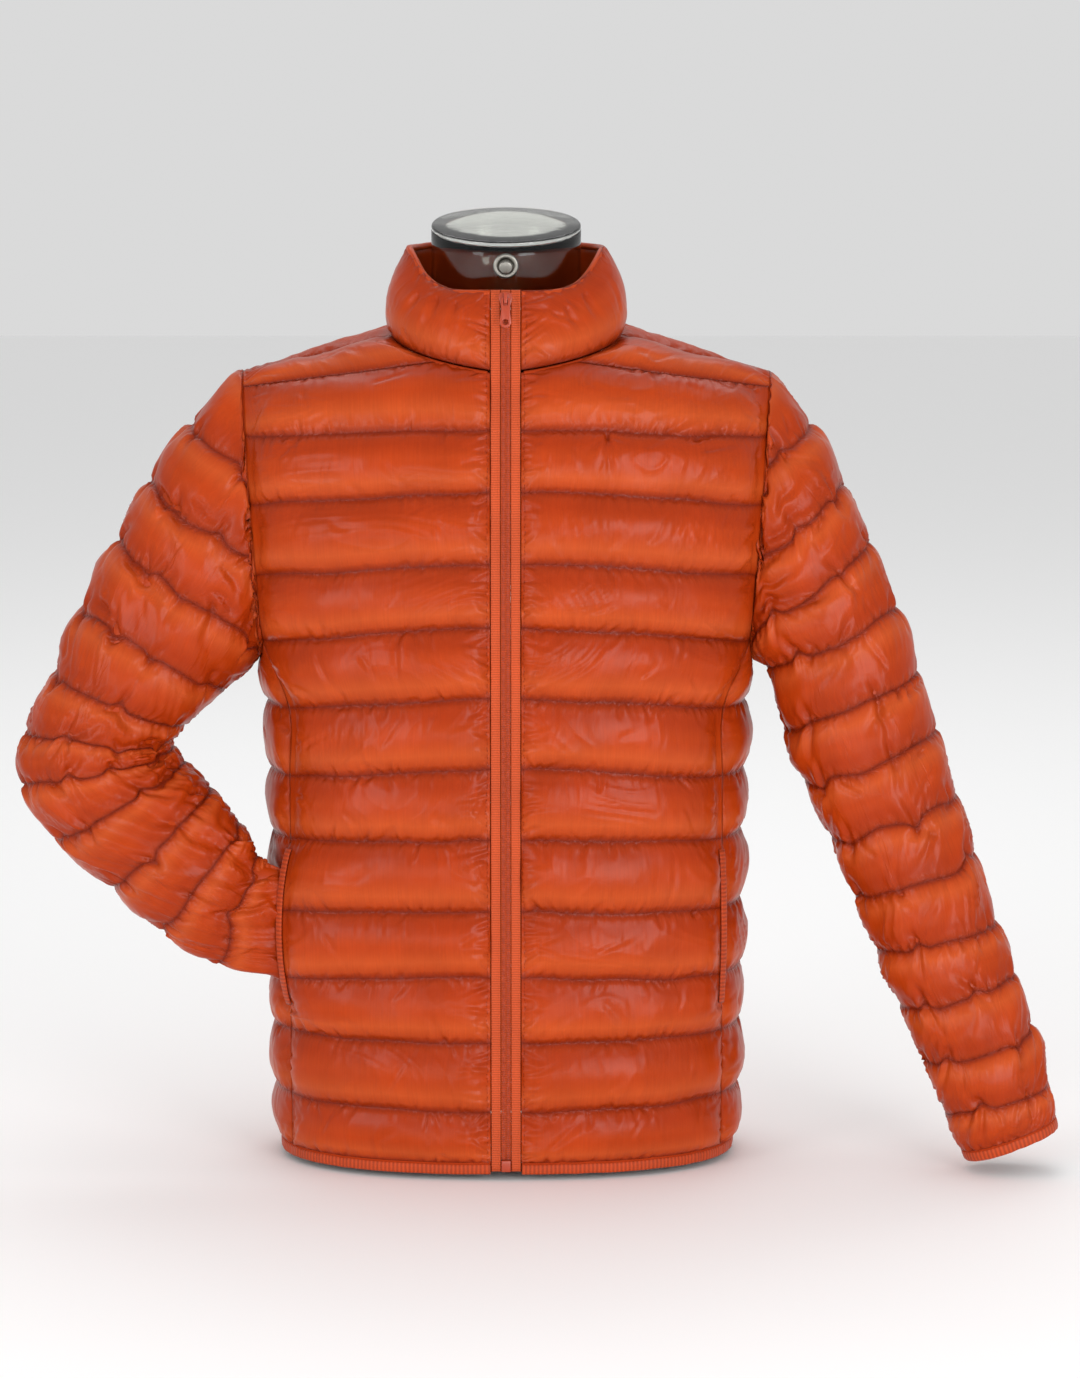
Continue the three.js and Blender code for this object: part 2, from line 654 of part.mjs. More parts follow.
function backPoint(line, share) {
  const side = share < 0 ? -1 : 1;
  const edge = backEdge(side, line);
  const size = Math.abs(share);
  const x = Math.abs(edge.x) * size;
  if (line === shoulderLine) {
    const neckShare = Math.abs(backShares[backNeckColumns[0]]);
    const neck = collarRing(neckRing, Math.PI / 2);
    const across = clamp01((size - neckShare) / (1 - neckShare));
    const drop = 1 - (1 - across) ** 1.2;
    return point(
      side * lerp(neck.x, Math.abs(edge.x), across),
      lerp(neck.y, edge.y, across) + shoulderOverlap,
      lerp(neck.z, edge.z, drop),
    );
  }
  const middle = sectionAt(bodySections, Math.min(617, quiltLines[line].back));
  if (line === yokeLine) {
    const neckShare = Math.abs(backShares[backNeckColumns[0]]);
    const reach = neckShare * Math.abs(edge.x);
    const onNeck = collarRing(neckRing, Math.PI - Math.asin(Math.min(x, reach) / neckRing.halfX) * 0.96);
    const across = clamp01((size - neckShare) / (1 - neckShare));
    const level = Math.min(1, size / neckShare);
    const y = size <= neckShare ? onNeck.y : lerp(onNeck.y, edge.y, across ** 1.4);
    const z = size <= neckShare ? onNeck.z : lerp(onNeck.z, edge.z, across ** 0.8);
    return point(side * x, y + 1.5 * (1 - level), z);
  }
  const bend = 1 - Math.min(0.995, edge.y / middle.back) ** bodySquareness;
  const halfWidth = Math.abs(edge.x) / bend ** (1 / bodySquareness);
  const y = superellipseDepth(x, halfWidth, middle.back, bodySquareness);
  return point(side * x, y, lerp(quiltLines[line].back, edge.z, size ** 1.6));
}

// The back's points, from the left edge round to the right, seen from above
function backBase() {
  const last = backShares.length - 1;
  const lines = quiltLines.map((_, line) => [...backShares].reverse().map((share) => backPoint(line, share)));
  const [firstNeck, lastNeck] = backNeckColumns;
  for (let column = firstNeck + 1; column < lastNeck; column += 1) {
    const top = lines[yokeLine][column];
    lines[shoulderLine][column] = top.clone().lerp(lines[yokeLine - 1][column], -0.5);
  }
  const rows = fillRows(lines, channelSteps);
  const edge = Math.abs(lines[yokeLine][firstNeck].x);
  const startAngle = Math.PI - Math.asin(edge / neckRing.halfX) * 0.96;
  for (let i = yokeRow; i < rows.length; i += 1) {
    const onNeck = collarRing(neckRing, lerp(startAngle, Math.PI / 2, (i - yokeRow) / channelSteps));
    const behind = i === rows.length - 1 ? shoulderOverlap : 0;
    rows[i][firstNeck].set(onNeck.x, onNeck.y + behind, onNeck.z);
    rows[i][lastNeck].set(-onNeck.x, onNeck.y + behind, onNeck.z);
  }
  setEdge(rows, 0, 1, 1, true);
  setEdge(rows, last, last - 1, -1, true);
  for (const end of [0, last]) rows[rows.length - 1][end].y += shoulderOverlap;
  return rows;
}

function addBack(rows) {
  const last = backShares.length - 1;
  const [firstNeck, lastNeck] = backNeckColumns;
  const along = rows.map(distancesAlong);
  const puff = (i, j) => {
    const nearest = Math.min(along[i][j], along[i][last] - along[i][j]);
    const fromNeck = i > yokeRow ? Math.abs(along[i][j] - along[i][j <= firstNeck ? firstNeck : lastNeck]) : 100;
    return bodyPuff * channelSwell(i, channelSteps) * edgeSwell(nearest) * edgeSwell(fromNeck, 6);
  };
  const present = (channel, cell) => channel < yokeLine || cell < firstNeck || cell >= lastNeck;
  const normalAt = (i, j) => {
    if (i < armpitRow || (j !== 0 && j !== last)) return null;
    return armholeOut(j === 0 ? 1 : -1, rows[i][j].z, true);
  };
  const options = { steps: channelSteps, puff, present, normalAt, innerRows: "all" };
  addPiece("back", wallGeometry(rows, options), shellCloth);
}

// Sleeves

const sleeveColumns = 16;

// A sleeve's section at a place counted in quilting lines, at an angle from its outer point round by the front
function sleeveRing(table, side, place, angle) {
  const row = tableAt(table, place);
  const across = (row.outerX - row.innerX) / 2;
  const rise = (row.outerZ - row.innerZ) / 2;
  const power = 2 / sleeveSquareness;
  const out = signedPower(Math.cos(angle), power);
  const front = signedPower(Math.sin(angle), power);
  return point(
    side * ((row.outerX + row.innerX) / 2 + across * out),
    row.middleY - row.halfDepth * front,
    (row.outerZ + row.innerZ) / 2 + rise * out,
  );
}

const capStart = (angle) => (capLines * (1 - Math.cos(angle))) / 2;

// A sleeve's surface: its section, drawn towards the armhole's own shape near the armhole
function sleevePoint(table, side, place, angle) {
  const start = capStart(angle);
  const at = Math.max(place, start);
  const away = clamp01((at - start) / capBlend);
  const fade = (1 - away) ** 2 * (1 + 2 * away);
  const seam = armholeSeam(side, angle);
  const target = seam.at.addScaledVector(seam.toSleeve, seamGap / 2);
  const shift = target.sub(sleeveRing(table, side, start, angle));
  return sleeveRing(table, side, at, angle).addScaledVector(shift, fade);
}

const sleeveAngle = (side, j) => (side * 2 * Math.PI * j) / sleeveColumns;

function sleeveRows(table, side) {
  const rows = [];
  for (let i = 0; i <= (table.length - 1) * channelSteps; i += 1) {
    const row = [];
    for (let j = 0; j < sleeveColumns; j += 1) {
      const angle = sleeveAngle(side, j);
      const gathered = capStart(angle) + clampStep * i;
      row.push(sleevePoint(table, side, Math.max(i / channelSteps, gathered), angle));
    }
    rows.push(row);
  }
  return rows;
}

function addSleeve(name, table, side, flatFrom) {
  const rows = sleeveRows(table, side);
  const puff = (i, j) => {
    const angle = sleeveAngle(side, j);
    const start = capStart(angle);
    const place = i / channelSteps;
    const channel = Math.min(table.length - 2, Math.floor(place));
    const low = Math.max(channel, start);
    const width = channel + 1 - low;
    if (place <= start + 0.02 || width < 0.15) return 0;
    const swell = Math.sin(Math.PI * clamp01((place - low) / width)) ** 0.7 * Math.min(1, width * 1.4);
    const tucked = 1 - smooth((place - flatFrom) / 1.2);
    const towardsBody = Math.max(0, -Math.cos(angle)) * (1 - smooth((place - capLines) / 2.5));
    return sleevePuff * swell * tucked * (1 - 0.85 * towardsBody);
  };
  const normals = gridNormals(rows, true);
  const normalAt = (i, j) => {
    const angle = sleeveAngle(side, j);
    const away = Math.max(i / channelSteps, capStart(angle) + clampStep * i) - capStart(angle);
    if (away > 0.5) return null;
    const seam = armholeSeam(side, angle);
    return seam.out.lerp(normals[i][j], smooth((away - 0.1) / 0.4)).normalize();
  };
  addPiece(name, wallGeometry(rows, { closed: true, steps: channelSteps, puff, normalAt }), shellCloth);
}

// Collar

const collarColumns = 34;
const collarSteps = 6;

function addCollar() {
  const start = Math.asin((zipHalfWidth + seamGap / 2) / neckRing.halfX);
  const startTop = Math.asin((zipHalfWidth + seamGap / 2) / collarTop.halfX);
  const rows = [];
  for (let i = 0; i <= collarSteps; i += 1) {
    const up = i / collarSteps;
    const row = [];
    for (let j = 0; j <= collarColumns; j += 1) {
      const share = j / collarColumns;
      const low = collarRing(neckRing, lerp(start, 2 * Math.PI - start, share));
      const high = collarRing(collarTop, lerp(startTop, 2 * Math.PI - startTop, share));
      low.z += 2.2;
      row.push(low.lerp(high, up));
    }
    rows.push(row);
  }
  const along = rows.map(distancesAlong);
  const puff = (i, j) => {
    const nearest = Math.min(along[i][j], along[i][collarColumns] - along[i][j]);
    const up = i / collarSteps;
    return collarPuff * Math.sin(Math.PI * up) ** 0.55 * edgeSwell(nearest);
  };
  addPiece("collar", wallGeometry(rows, { steps: collarSteps, puff }), shellCloth);
}

// Bindings

const hemColumns = 52;

function addHemBinding() {
  const rows = [quiltLines[0].middle - 1.4 - bindingHeight, quiltLines[0].middle - 1.4].map((z) => {
    const section = sectionAt(bodySections, z);
    const row = [];
    for (let j = 0; j <= hemColumns; j += 1) {
      const p = ringPoint(section, -Math.PI / 2 + (2 * Math.PI * j) / hemColumns);
      row.push(point(p.x, p.y, z));
    }
    const open = zipHalfWidth + seamGap;
    row[0].set(open, section.front, z);
    row[hemColumns].set(-open, section.front, z);
    return row;
  });
  addPiece("hem_binding", wallGeometry(rows, { half: bindingThickness / 2 }), trimCloth);
}

function addCuffBinding(name, table, side) {
  const last = table.length - 1;
  const end = [];
  const beyond = [];
  for (let j = 0; j < sleeveColumns; j += 1) {
    const angle = (side * 2 * Math.PI * j) / sleeveColumns;
    const p = sleeveRing(table, side, last, angle);
    const before = sleeveRing(table, side, last - 0.5, angle);
    const along = p.clone().sub(before).normalize();
    end.push(p.clone().addScaledVector(along, 1));
    beyond.push(p.clone().addScaledVector(along, 1 + bindingHeight));
  }
  addPiece(name, wallGeometry([end, beyond], { closed: true, half: bindingThickness / 2 }), trimCloth);
}

// A strip laid over the front's pocket edge
function addPocketBinding(name, rows, side) {
  const normals = gridNormals(rows, false);
  const last = rows[0].length - 1;
  const edge = side > 0 ? last : 0;
  const next = side > 0 ? last - 1 : 1;
  const strip = [];
  rows.forEach((row, i) => {
    const z = row[edge].z;
    if (z < pocketBottomZ || z > pocketTopZ) return;
    const inward = row[next].clone().sub(row[edge]).normalize();
    const lift = clothHalf + pieceGap + pocketBindingThickness / 2;
    const outside = row[edge].clone().addScaledVector(normals[i][edge], lift);
    const inside = outside.clone().addScaledVector(inward, pocketBindingWidth);
    strip.push(side > 0 ? [inside, outside] : [outside, inside]);
  });
  addPiece(name, wallGeometry(strip, { half: pocketBindingThickness / 2 }), trimCloth);
}

// Zip

function zipTop() {
  return collarRing(collarTop, 0).add(point(0, 0, 0.5));
}

// The middle of the front at a share of the zip's height
function zipPlace(share) {
  const top = zipTop();
  const z = lerp(zipBottomZ, top.z, share);
  if (z <= neckRing.frontZ) return point(0, sectionAt(bodySections, z).front, z);
  const up = (z - neckRing.frontZ) / (top.z - neckRing.frontZ);
  return point(0, lerp(collarRing(neckRing, 0).y, top.y, up), z);
}

function addZipStrip(name, fromX, toX, thickness, forward, bottom, top) {
  const strip = [];
  for (let i = 0; i <= zipSteps; i += 1) {
    const p = zipPlace(lerp(bottom, top, i / zipSteps));
    strip.push([point(fromX, p.y - forward, p.z), point(toX, p.y - forward, p.z)]);
  }
  addPiece(name, wallGeometry(strip, { half: thickness / 2 }), trimCloth);
}

// A flat plate cut from an outline in the XZ plane, about y = 0
function plateGeometry(outline, halfDepth) {
  const plate = new THREE.ExtrudeGeometry(outline, { depth: 2 * halfDepth, bevelEnabled: false, curveSegments: 7 });
  return plate.rotateX(Math.PI / 2).translate(0, halfDepth, 0);
}

const boxGeometry = (width, depth, height, x, y, z) =>
  new THREE.BoxGeometry(width, depth, height).translate(x, y, z);

// Joins overlapping closed geometries into one
function unite(geometries) {
  const solids = geometries.map((geometry) => {
    const plain = new THREE.BufferGeometry().setAttribute("position", geometry.toNonIndexed().getAttribute("position"));
    const merged = mergeVertices(plain, 1e-4);
    return new Manifold(
      new Mesh({
        numProp: 3,
        vertProperties: merged.getAttribute("position").array,
        triVerts: new Uint32Array(merged.index.array),
      }),
    );
  });
  const mesh = Manifold.union(solids).getMesh();
  const united = new THREE.BufferGeometry();
  united.setAttribute("position", new THREE.BufferAttribute(new Float32Array(mesh.vertProperties), 3));
  united.setIndex([...mesh.triVerts]);
  return united;
}

// The slider's plate narrows downwards
function sliderOutline() {
  const half = slider.height / 2;
  const outline = new THREE.Shape();
  outline.moveTo(-0.6 * slider.halfWidth, -half);
  outline.lineTo(0.6 * slider.halfWidth, -half);
  outline.lineTo(slider.halfWidth, 0.3 * half);
  outline.lineTo(0.9 * slider.halfWidth, half);
  outline.lineTo(-0.9 * slider.halfWidth, half);
  outline.lineTo(-slider.halfWidth, 0.3 * half);
  outline.closePath();
  return outline;
}

// The pull tab about its own pin: a square window that the slider's bridge passes through, and a round hole below
function tabOutline() {
  const { topHalf, lowHalf, length, holeRadius, windowHalf, windowTop, windowHeight, rim } = pullTab;
  const outline = new THREE.Shape();
  outline.moveTo(topHalf, rim);
  outline.lineTo(-topHalf, rim);
  outline.lineTo(-topHalf, -0.4 * length);
  outline.lineTo(-lowHalf, -length + lowHalf);
  outline.absarc(0, -length + lowHalf, lowHalf, Math.PI, 2 * Math.PI, false);
  outline.lineTo(topHalf, -0.4 * length);
  outline.closePath();
  const window = new THREE.Path();
  window.moveTo(-windowHalf, windowTop);
  window.lineTo(windowHalf, windowTop);
  window.lineTo(windowHalf, windowTop - windowHeight);
  window.lineTo(-windowHalf, windowTop - windowHeight);
  window.closePath();
  const hole = new THREE.Path();
  hole.absarc(0, -length + lowHalf, holeRadius, 0, 2 * Math.PI, false);
  outline.holes.push(window, hole);
  return outline;
}

// The slider and its tab lean back with the collar. Their own origin is the tab's pin.
function addSlider() {
  const place = zipPlace((slider.z - zipBottomZ) / (zipTop().z - zipBottomZ));
  const lean = Math.atan2(collarRing(collarTop, 0).y - collarRing(neckRing, 0).y, zipTop().z - neckRing.frontZ);
  const plateFront = slider.bridgeGap / 2;
  const { bridgeHalfWidth, bridgeGap, bridgeThickness, bridgeTop, bridgeBottom, post } = slider;
  const reach = bridgeGap + bridgeThickness + 0.2;
  const middleY = plateFront - reach / 2 + 0.2;
  const plate = plateGeometry(sliderOutline(), slider.halfDepth);
  plate.translate(0, plateFront + slider.halfDepth, -slider.pinAbove);
  const bar = bridgeTop - bridgeBottom;
  const body = unite([
    plate,
    boxGeometry(2 * bridgeHalfWidth, reach, post, 0, middleY, bridgeTop - post / 2),
    boxGeometry(2 * bridgeHalfWidth, reach, post, 0, middleY, bridgeBottom + post / 2),
    boxGeometry(2 * bridgeHalfWidth, bridgeThickness, bar, 0, -plateFront - bridgeThickness / 2, bridgeBottom + bar / 2),
  ]);
  const tab = plateGeometry(tabOutline(), pullTab.halfDepth);
  const chainFront = chainThickness / 2 + chainForward;
  const ahead = chainFront + slider.chainGap + 2 * slider.halfDepth + plateFront;
  const pin = point(0, -ahead, slider.pinAbove).applyAxisAngle(point(1, 0, 0), -lean).add(place);
  for (const geometry of [body, tab]) geometry.rotateX(-lean).translate(pin.x, pin.y, pin.z);
  addPiece("zip_slider", body, trimCloth);
  addPiece("zip_pull", tab, trimCloth);
}

function addZip() {
  const tapeInner = chainHalfWidth + pieceGap;
  const tapeOuter = zipHalfWidth - seamGap / 2;
  const chainBottom = (zipBox.height + pieceGap) / (zipTop().z - zipBottomZ);
  addZipStrip("zip_tape_left", tapeInner, tapeOuter, tapeThickness, 0, 0, 1);
  addZipStrip("zip_tape_right", -tapeOuter, -tapeInner, tapeThickness, 0, 0, 1);
  addZipStrip("zip_chain", -chainHalfWidth, chainHalfWidth, chainThickness, chainForward, chainBottom, 1);
  const boxMiddle = zipBottomZ + zipBox.height / 2;
  const boxY = sectionAt(bodySections, boxMiddle).front;
  addPiece("zip_box", boxGeometry(2 * chainHalfWidth, zipBox.depth, zipBox.height, 0, boxY, boxMiddle), trimCloth);
  addSlider();
}

// Bust form

function formRows() {
  const rows = formSections.map((section) => {
    const row = [];
    for (let j = 0; j < formColumns; j += 1) {
      const angle = (2 * Math.PI * j) / formColumns;
      const power = 2 / formSquareness;
      const depth = Math.sin(angle) < 0 ? -section.front : section.back;
      const x = section.halfWidth * signedPower(Math.cos(angle), power);
      const y = depth * signedPower(Math.sin(angle), power);
      row.push(point(x, y, section.z));
    }
    return row;
  });
  rows.push(neckRim(neckCap.thickness + pieceGap));
  return rows;
}

// The ring under the neck's tilted cap
function neckRim(below) {
  const rim = [];
  for (let j = 0; j < formColumns; j += 1) {
    const angle = (2 * Math.PI * j) / formColumns;
    const p = point(neckCap.radius * Math.cos(angle), neckCap.radius * Math.sin(angle), -below);
    p.applyAxisAngle(point(1, 0, 0), neckCap.tilt);
    rim.push(p.add(point(0, neckCap.middleY, neckCap.z)));
  }
  return rim;
}

// A closed solid through rings, with a flat fan over each end
function loftGeometry(rows) {
  const columns = rows[0].length;
  const positions = [];
  const indices = [];
  for (const row of rows) for (const p of row) positions.push(p.x, p.y, p.z);
  for (let i = 0; i + 1 < rows.length; i += 1) {
    for (let j = 0; j < columns; j += 1) {
      const a = i * columns + j;
      const b = i * columns + ((j + 1) % columns);
      indices.push(a, b, b + columns, a, b + columns, a + columns);
    }
  }
  const addEnd = (row, first, facingUp) => {
    const middle = row.reduce((sum, p) => sum.add(p), point(0, 0, 0)).divideScalar(columns);
    const centre = positions.length / 3;
    positions.push(middle.x, middle.y, middle.z);
    for (let j = 0; j < columns; j += 1) {
      const a = first + j;
      const b = first + ((j + 1) % columns);
      if (facingUp) indices.push(a, b, centre);
      else indices.push(b, a, centre);
    }
  };
  addEnd(rows[0], 0, false);
  addEnd(rows[rows.length - 1], (rows.length - 1) * columns, true);
  const geometry = new THREE.BufferGeometry();
  geometry.setAttribute("position", new THREE.Float32BufferAttribute(positions, 3));
  geometry.setIndex(indices);
  return geometry;
}

function addForm() {
  addPiece("bust_form", loftGeometry(formRows()), clearPlastic);
  addPiece("neck_cap", loftGeometry([neckRim(neckCap.thickness), neckRim(0)]), clearPlastic);
  const rim = neckRim(neckCap.thickness + pieceGap);
  const rimFront = rim.reduce((found, p) => (p.y < found.y ? p : found));
  const top = formSections[formSections.length - 1];
  const lean = Math.atan2(top.front - rimFront.y, rimFront.z - top.z);
  const up = (neckBolt.z - top.z) / (rimFront.z - top.z);
  const bolt = new THREE.CylinderGeometry(neckBolt.radius, neckBolt.radius, neckBolt.length, 16);
  bolt.translate(0, neckBolt.length / 2 + pieceGap, 0).rotateX(Math.PI + lean);
  bolt.translate(0, lerp(top.front, rimFront.y, up), neckBolt.z);
  addPiece("neck_bolt", bolt, boltMetal);
}

const frontBases = { right: frontBase(-1), left: frontBase(1) };
const backRows = backBase();
const rightFrontRows = addFront("front_right", -1, frontBases.right);
const leftFrontRows = addFront("front_left", 1, frontBases.left);
addSide("side_right", -1, frontBases.right, backRows);
addSide("side_left", 1, frontBases.left, backRows);
addBack(backRows);
addSleeve("sleeve_left", straightSleeve, 1, straightSleeve.length);
addSleeve("sleeve_right", bentSleeve, -1, 10.2);
addCollar();
addHemBinding();
addCuffBinding("cuff_binding_left", straightSleeve, 1);
addCuffBinding("cuff_binding_right", bentSleeve, -1);
addPocketBinding("pocket_binding_right", rightFrontRows, -1);
addPocketBinding("pocket_binding_left", leftFrontRows, 1);
addZip();
addForm();

export default jacket;
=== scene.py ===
import math

import bmesh
import bpy
import numpy as np
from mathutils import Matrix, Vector


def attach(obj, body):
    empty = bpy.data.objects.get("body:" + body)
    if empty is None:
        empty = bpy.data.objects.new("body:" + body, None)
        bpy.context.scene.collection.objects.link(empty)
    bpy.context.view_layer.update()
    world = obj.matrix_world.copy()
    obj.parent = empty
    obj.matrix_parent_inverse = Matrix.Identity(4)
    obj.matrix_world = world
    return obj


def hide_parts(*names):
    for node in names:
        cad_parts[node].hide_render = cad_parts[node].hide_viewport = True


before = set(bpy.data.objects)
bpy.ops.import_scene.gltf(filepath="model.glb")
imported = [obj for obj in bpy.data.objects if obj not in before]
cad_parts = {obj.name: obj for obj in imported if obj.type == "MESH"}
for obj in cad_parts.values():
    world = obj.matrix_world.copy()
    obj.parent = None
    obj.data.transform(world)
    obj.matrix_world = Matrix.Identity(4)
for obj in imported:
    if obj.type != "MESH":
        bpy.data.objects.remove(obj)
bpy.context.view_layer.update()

mm = 0.001


def newObject(name, data):
    made = bpy.data.objects.new(name, data)
    bpy.context.scene.collection.objects.link(made)
    return made


def discard(piece):
    mesh = piece.data
    bpy.data.objects.remove(piece)
    bpy.data.meshes.remove(mesh)


def feed(tree, node, sockets):
    # sockets gives an input its value, or the output that it takes its value from
    for socket, value in sockets.items():
        if isinstance(value, bpy.types.NodeSocket):
            tree.links.new(value, node.inputs[socket])
        else:
            node.inputs[socket].default_value = value


def addNode(tree, kind, sockets=None, **values):
    node = tree.nodes.new(kind)
    for name, value in values.items():
        setattr(node, name, value)
    feed(tree, node, sockets or {})
    return node


def newMaterial(name, colour, roughness, **sockets):
    material = bpy.data.materials.new(name)
    material.use_nodes = True
    values = {socket.replace("_", " "): value for socket, value in sockets.items()}
    feed(material.node_tree, material.node_tree.nodes["Principled BSDF"],
         {"Base Color": (*colour, 1.0), "Roughness": roughness, **values})
    return material

# Camera, floor and light

cameraSetup = {
    "target": (0.026, 0.0, 0.3647),
    "distance": 4.0,
    "elevation": 8.0,   # degrees above the horizon
    "focal": 134.0,     # mm on a 36 mm long side
}


def makeCamera():
    camera = bpy.data.cameras.new("studioCamera")
    camera.sensor_width = 36.0
    camera.lens = cameraSetup["focal"]
    camera.clip_end = 50.0
    holder = newObject("studioCamera", camera)
    tilt = math.radians(cameraSetup["elevation"])
    x, y, z = cameraSetup["target"]
    away = cameraSetup["distance"]
    holder.location = (x, y - away * math.cos(tilt), z + away * math.sin(tilt))
    holder.rotation_euler = (math.pi / 2 - tilt, 0.0, 0.0)
    bpy.context.scene.camera = holder


studioSetup = {
    "floorHalf": 9.0,
    "floorColour": (0.95, 0.95, 0.95),
    "worldColour": (1.0, 1.0, 1.0),
    "worldStrength": 0.70,
    "areas": [  # place, what it looks at, width, height, watts
        ((1.5, -2.6, 0.75), (0.05, 0.0, 0.38), 1.2, 1.3, 36.0),
        ((-1.9, -2.2, 0.8), (0.0, 0.0, 0.38), 0.9, 1.3, 22.0),
        ((0.0, -2.4, 0.08), (0.0, 0.0, 0.4), 2.4, 0.4, 13.0),
        ((0.0, 0.3, 2.6), (0.0, 0.0, 0.3), 1.8, 1.2, 8.0),
        ((0.0, 1.8, 2.8), (0.0, 1.0, 0.0), 2.4, 1.0, 18.0),
    ],
}


def makeStudio():
    half = studioSetup["floorHalf"]
    mesh = bpy.data.meshes.new("studioFloor")
    corners = [(-half, -half, 0), (half, -half, 0), (half, half, 0), (-half, half, 0)]
    mesh.from_pydata(corners, [], [(0, 1, 2, 3)])
    mesh.materials.append(newMaterial("paleFloor", studioSetup["floorColour"], 0.7))
    newObject("studioFloor", mesh)
    world = bpy.data.worlds.new("studioWorld")
    world.use_nodes = True
    feed(world.node_tree, world.node_tree.nodes["Background"],
         {"Color": (*studioSetup["worldColour"], 1.0), "Strength": studioSetup["worldStrength"]})
    bpy.context.scene.world = world
    bpy.context.scene.view_settings.view_transform = "Standard"
    for place, aim, width, height, watts in studioSetup["areas"]:
        light = bpy.data.lights.new("softbox", "AREA")
        light.shape = "RECTANGLE"
        light.size = width
        light.size_y = height
        light.energy = watts
        holder = newObject("softbox", light)
        holder.location = place
        holder.rotation_euler = (Vector(aim) - Vector(place)).to_track_quat("-Z", "Y").to_euler()


makeCamera()
makeStudio()
print("camera, floor and light are in place")

# The jacket's own shape, the same as its solids have. All of it is in millimetres.

jacket = {
    "clothHalf": 1.0,
    "seamGap": 0.5,
    "edgeInset": 0.35,
    "zipHalfWidth": 11.5,
    "squareness": 2.4,
    "sideSeamX": 166.0,
    "armpitLine": 8,
    "yokeLine": 12,
    "sections": [  # height, half width, front, back
        (0, 176, -115, 106),
        (60, 179, -117, 108),
        (160, 181, -118, 108),
        (270, 181, -118, 110),
        (400, 186, -119, 116),
        (476, 196, -118, 119),
        (530, 202, -113, 117),
        (576, 206, -105, 110),
        (617, 208, -92, 92),
    ],
    "quiltLines": [  # height at the zip, at a panel's outer edge, at the middle of the back
        (14, 14, 14),
        (54, 56, 56),
        (108, 107, 107),
        (159, 151, 155),
        (210, 203, 207),
        (265, 257, 261),
        (320, 306, 313),
        (374, 359, 367),
        (428, 409, 420),
        (476, 461, 475),
        (530, 515, 533),
        (576, 566, 592),
        (617, 602, 655),
        (641, 612, 641),
    ],
    "yokeStartX": 52.0,
    "yokeShare": 0.27,
    "backNeckShare": 0.34,
    "shoulderOverlap": 1.2,
}
armhole = {"top": (203.0, 5.0, 612.0), "low": (187.0, -8.0, 398.0), "frontDepth": 56.0, "backDepth": 62.0}
neckRing = {"halfX": 87.0, "middleY": -15.0, "halfY": 77.0, "frontZ": 617.5, "rise": 38.0, "ease": 0.66}
collarTop = {"halfX": 74.0, "middleY": -10.0, "halfY": 68.0, "frontZ": 680.0, "rise": 30.0, "from": 0.05,
             "to": 0.46}
pocket = {
    "bottomZ": 124.0,
    "topZ": 252.0,
    "lift": {-1: (16.0, -9.0), 1: (4.0, -2.0)},  # front edge and side edge, by the wearer's side
    "bindingWidth": 7.0,
    "bindingThickness": 1.8,
}
sleeves = {
    "squareness": 2.2,
    "capLines": 3.0,        # quilting lines that the cap takes up under the arm
    "capBlend": 1.4,
    "capSpread": 0.048,     # of a line, to keep the rows under the cap apart
    1: [  # outer x, outer z, inner x, inner z, middle y, half depth, at each quilting line
        (205, 612, 152, 530, 0, 58),
        (232, 572, 160, 484, 0, 61),
        (258, 526, 170, 438, -3, 61),
        (280, 480, 182, 405, -6, 59),
        (300, 432, 203, 384, -10, 57),
        (317, 381, 217, 339, -15, 55),
        (332, 335, 233, 297, -21, 53),
        (347, 288, 254, 254, -28, 51),
        (361, 239, 272, 211, -36, 49),
        (377, 190, 289, 168, -44, 47),
        (392, 150, 307, 125, -52, 45),
        (405, 110, 325, 83, -60, 42),
        (418, 68, 341, 44, -68, 38),
        (424, 42, 353, 16, -74, 31),
    ],
    -1: [
        (205, 612, 150, 520, 0, 58),
        (241, 572, 160, 462, 0, 61),
        (273, 529, 168, 426, -2, 61),
        (298, 483, 186, 402, -4, 60),
        (326, 431, 219, 368, -7, 59),
        (348, 381, 252, 340, -10, 58),
        (371, 334, 262, 328, -13, 57),
        (374, 294, 261, 321, -17, 56),
        (347, 252, 251, 309, -24, 53),
        (303, 216, 230, 291, -34, 50),
        (263, 183, 208, 266, -46, 40),
        (222, 160, 193, 242, -58, 20),
        (172, 146, 166, 229, -63, 5),
        (131, 134, 124, 209, -79, 9),
    ],
}
shoulderLine = len(jacket["quiltLines"]) - 1
quiltLines = np.array(jacket["quiltLines"], float)
bodySections = np.array(jacket["sections"], float)
bodyTop = bodySections[-1, 0]


def smooth(value):
    t = np.clip(value, 0.0, 1.0)
    return t * t * (3.0 - 2.0 * t)


def signedPower(value, power):
    return np.sign(value) * np.abs(value) ** power


def mix(a, b, t):
    return a + (b - a) * t


def tableAt(table, place):
    # Catmull-Rom through a table's rows, at places counted in rows
    place = np.asarray(place, float)
    last = len(table) - 1
    row = np.clip(np.floor(place).astype(int), 0, last - 1)
    t = (place - row)[..., None]
    before, start = table[np.maximum(row - 1, 0)], table[row]
    end, after = table[row + 1], table[np.minimum(row + 2, last)]
    startSlope, endSlope = (end - before) / 2, (after - start) / 2
    t2, t3 = t * t, t * t * t
    return ((2 * t3 - 3 * t2 + 1) * start + (t3 - 2 * t2 + t) * startSlope
            + (3 * t2 - 2 * t3) * end + (t3 - t2) * endSlope)


def sectionAt(z):
    heights = bodySections[:, 0]
    return tableAt(bodySections, np.interp(z, heights, np.arange(len(heights))))


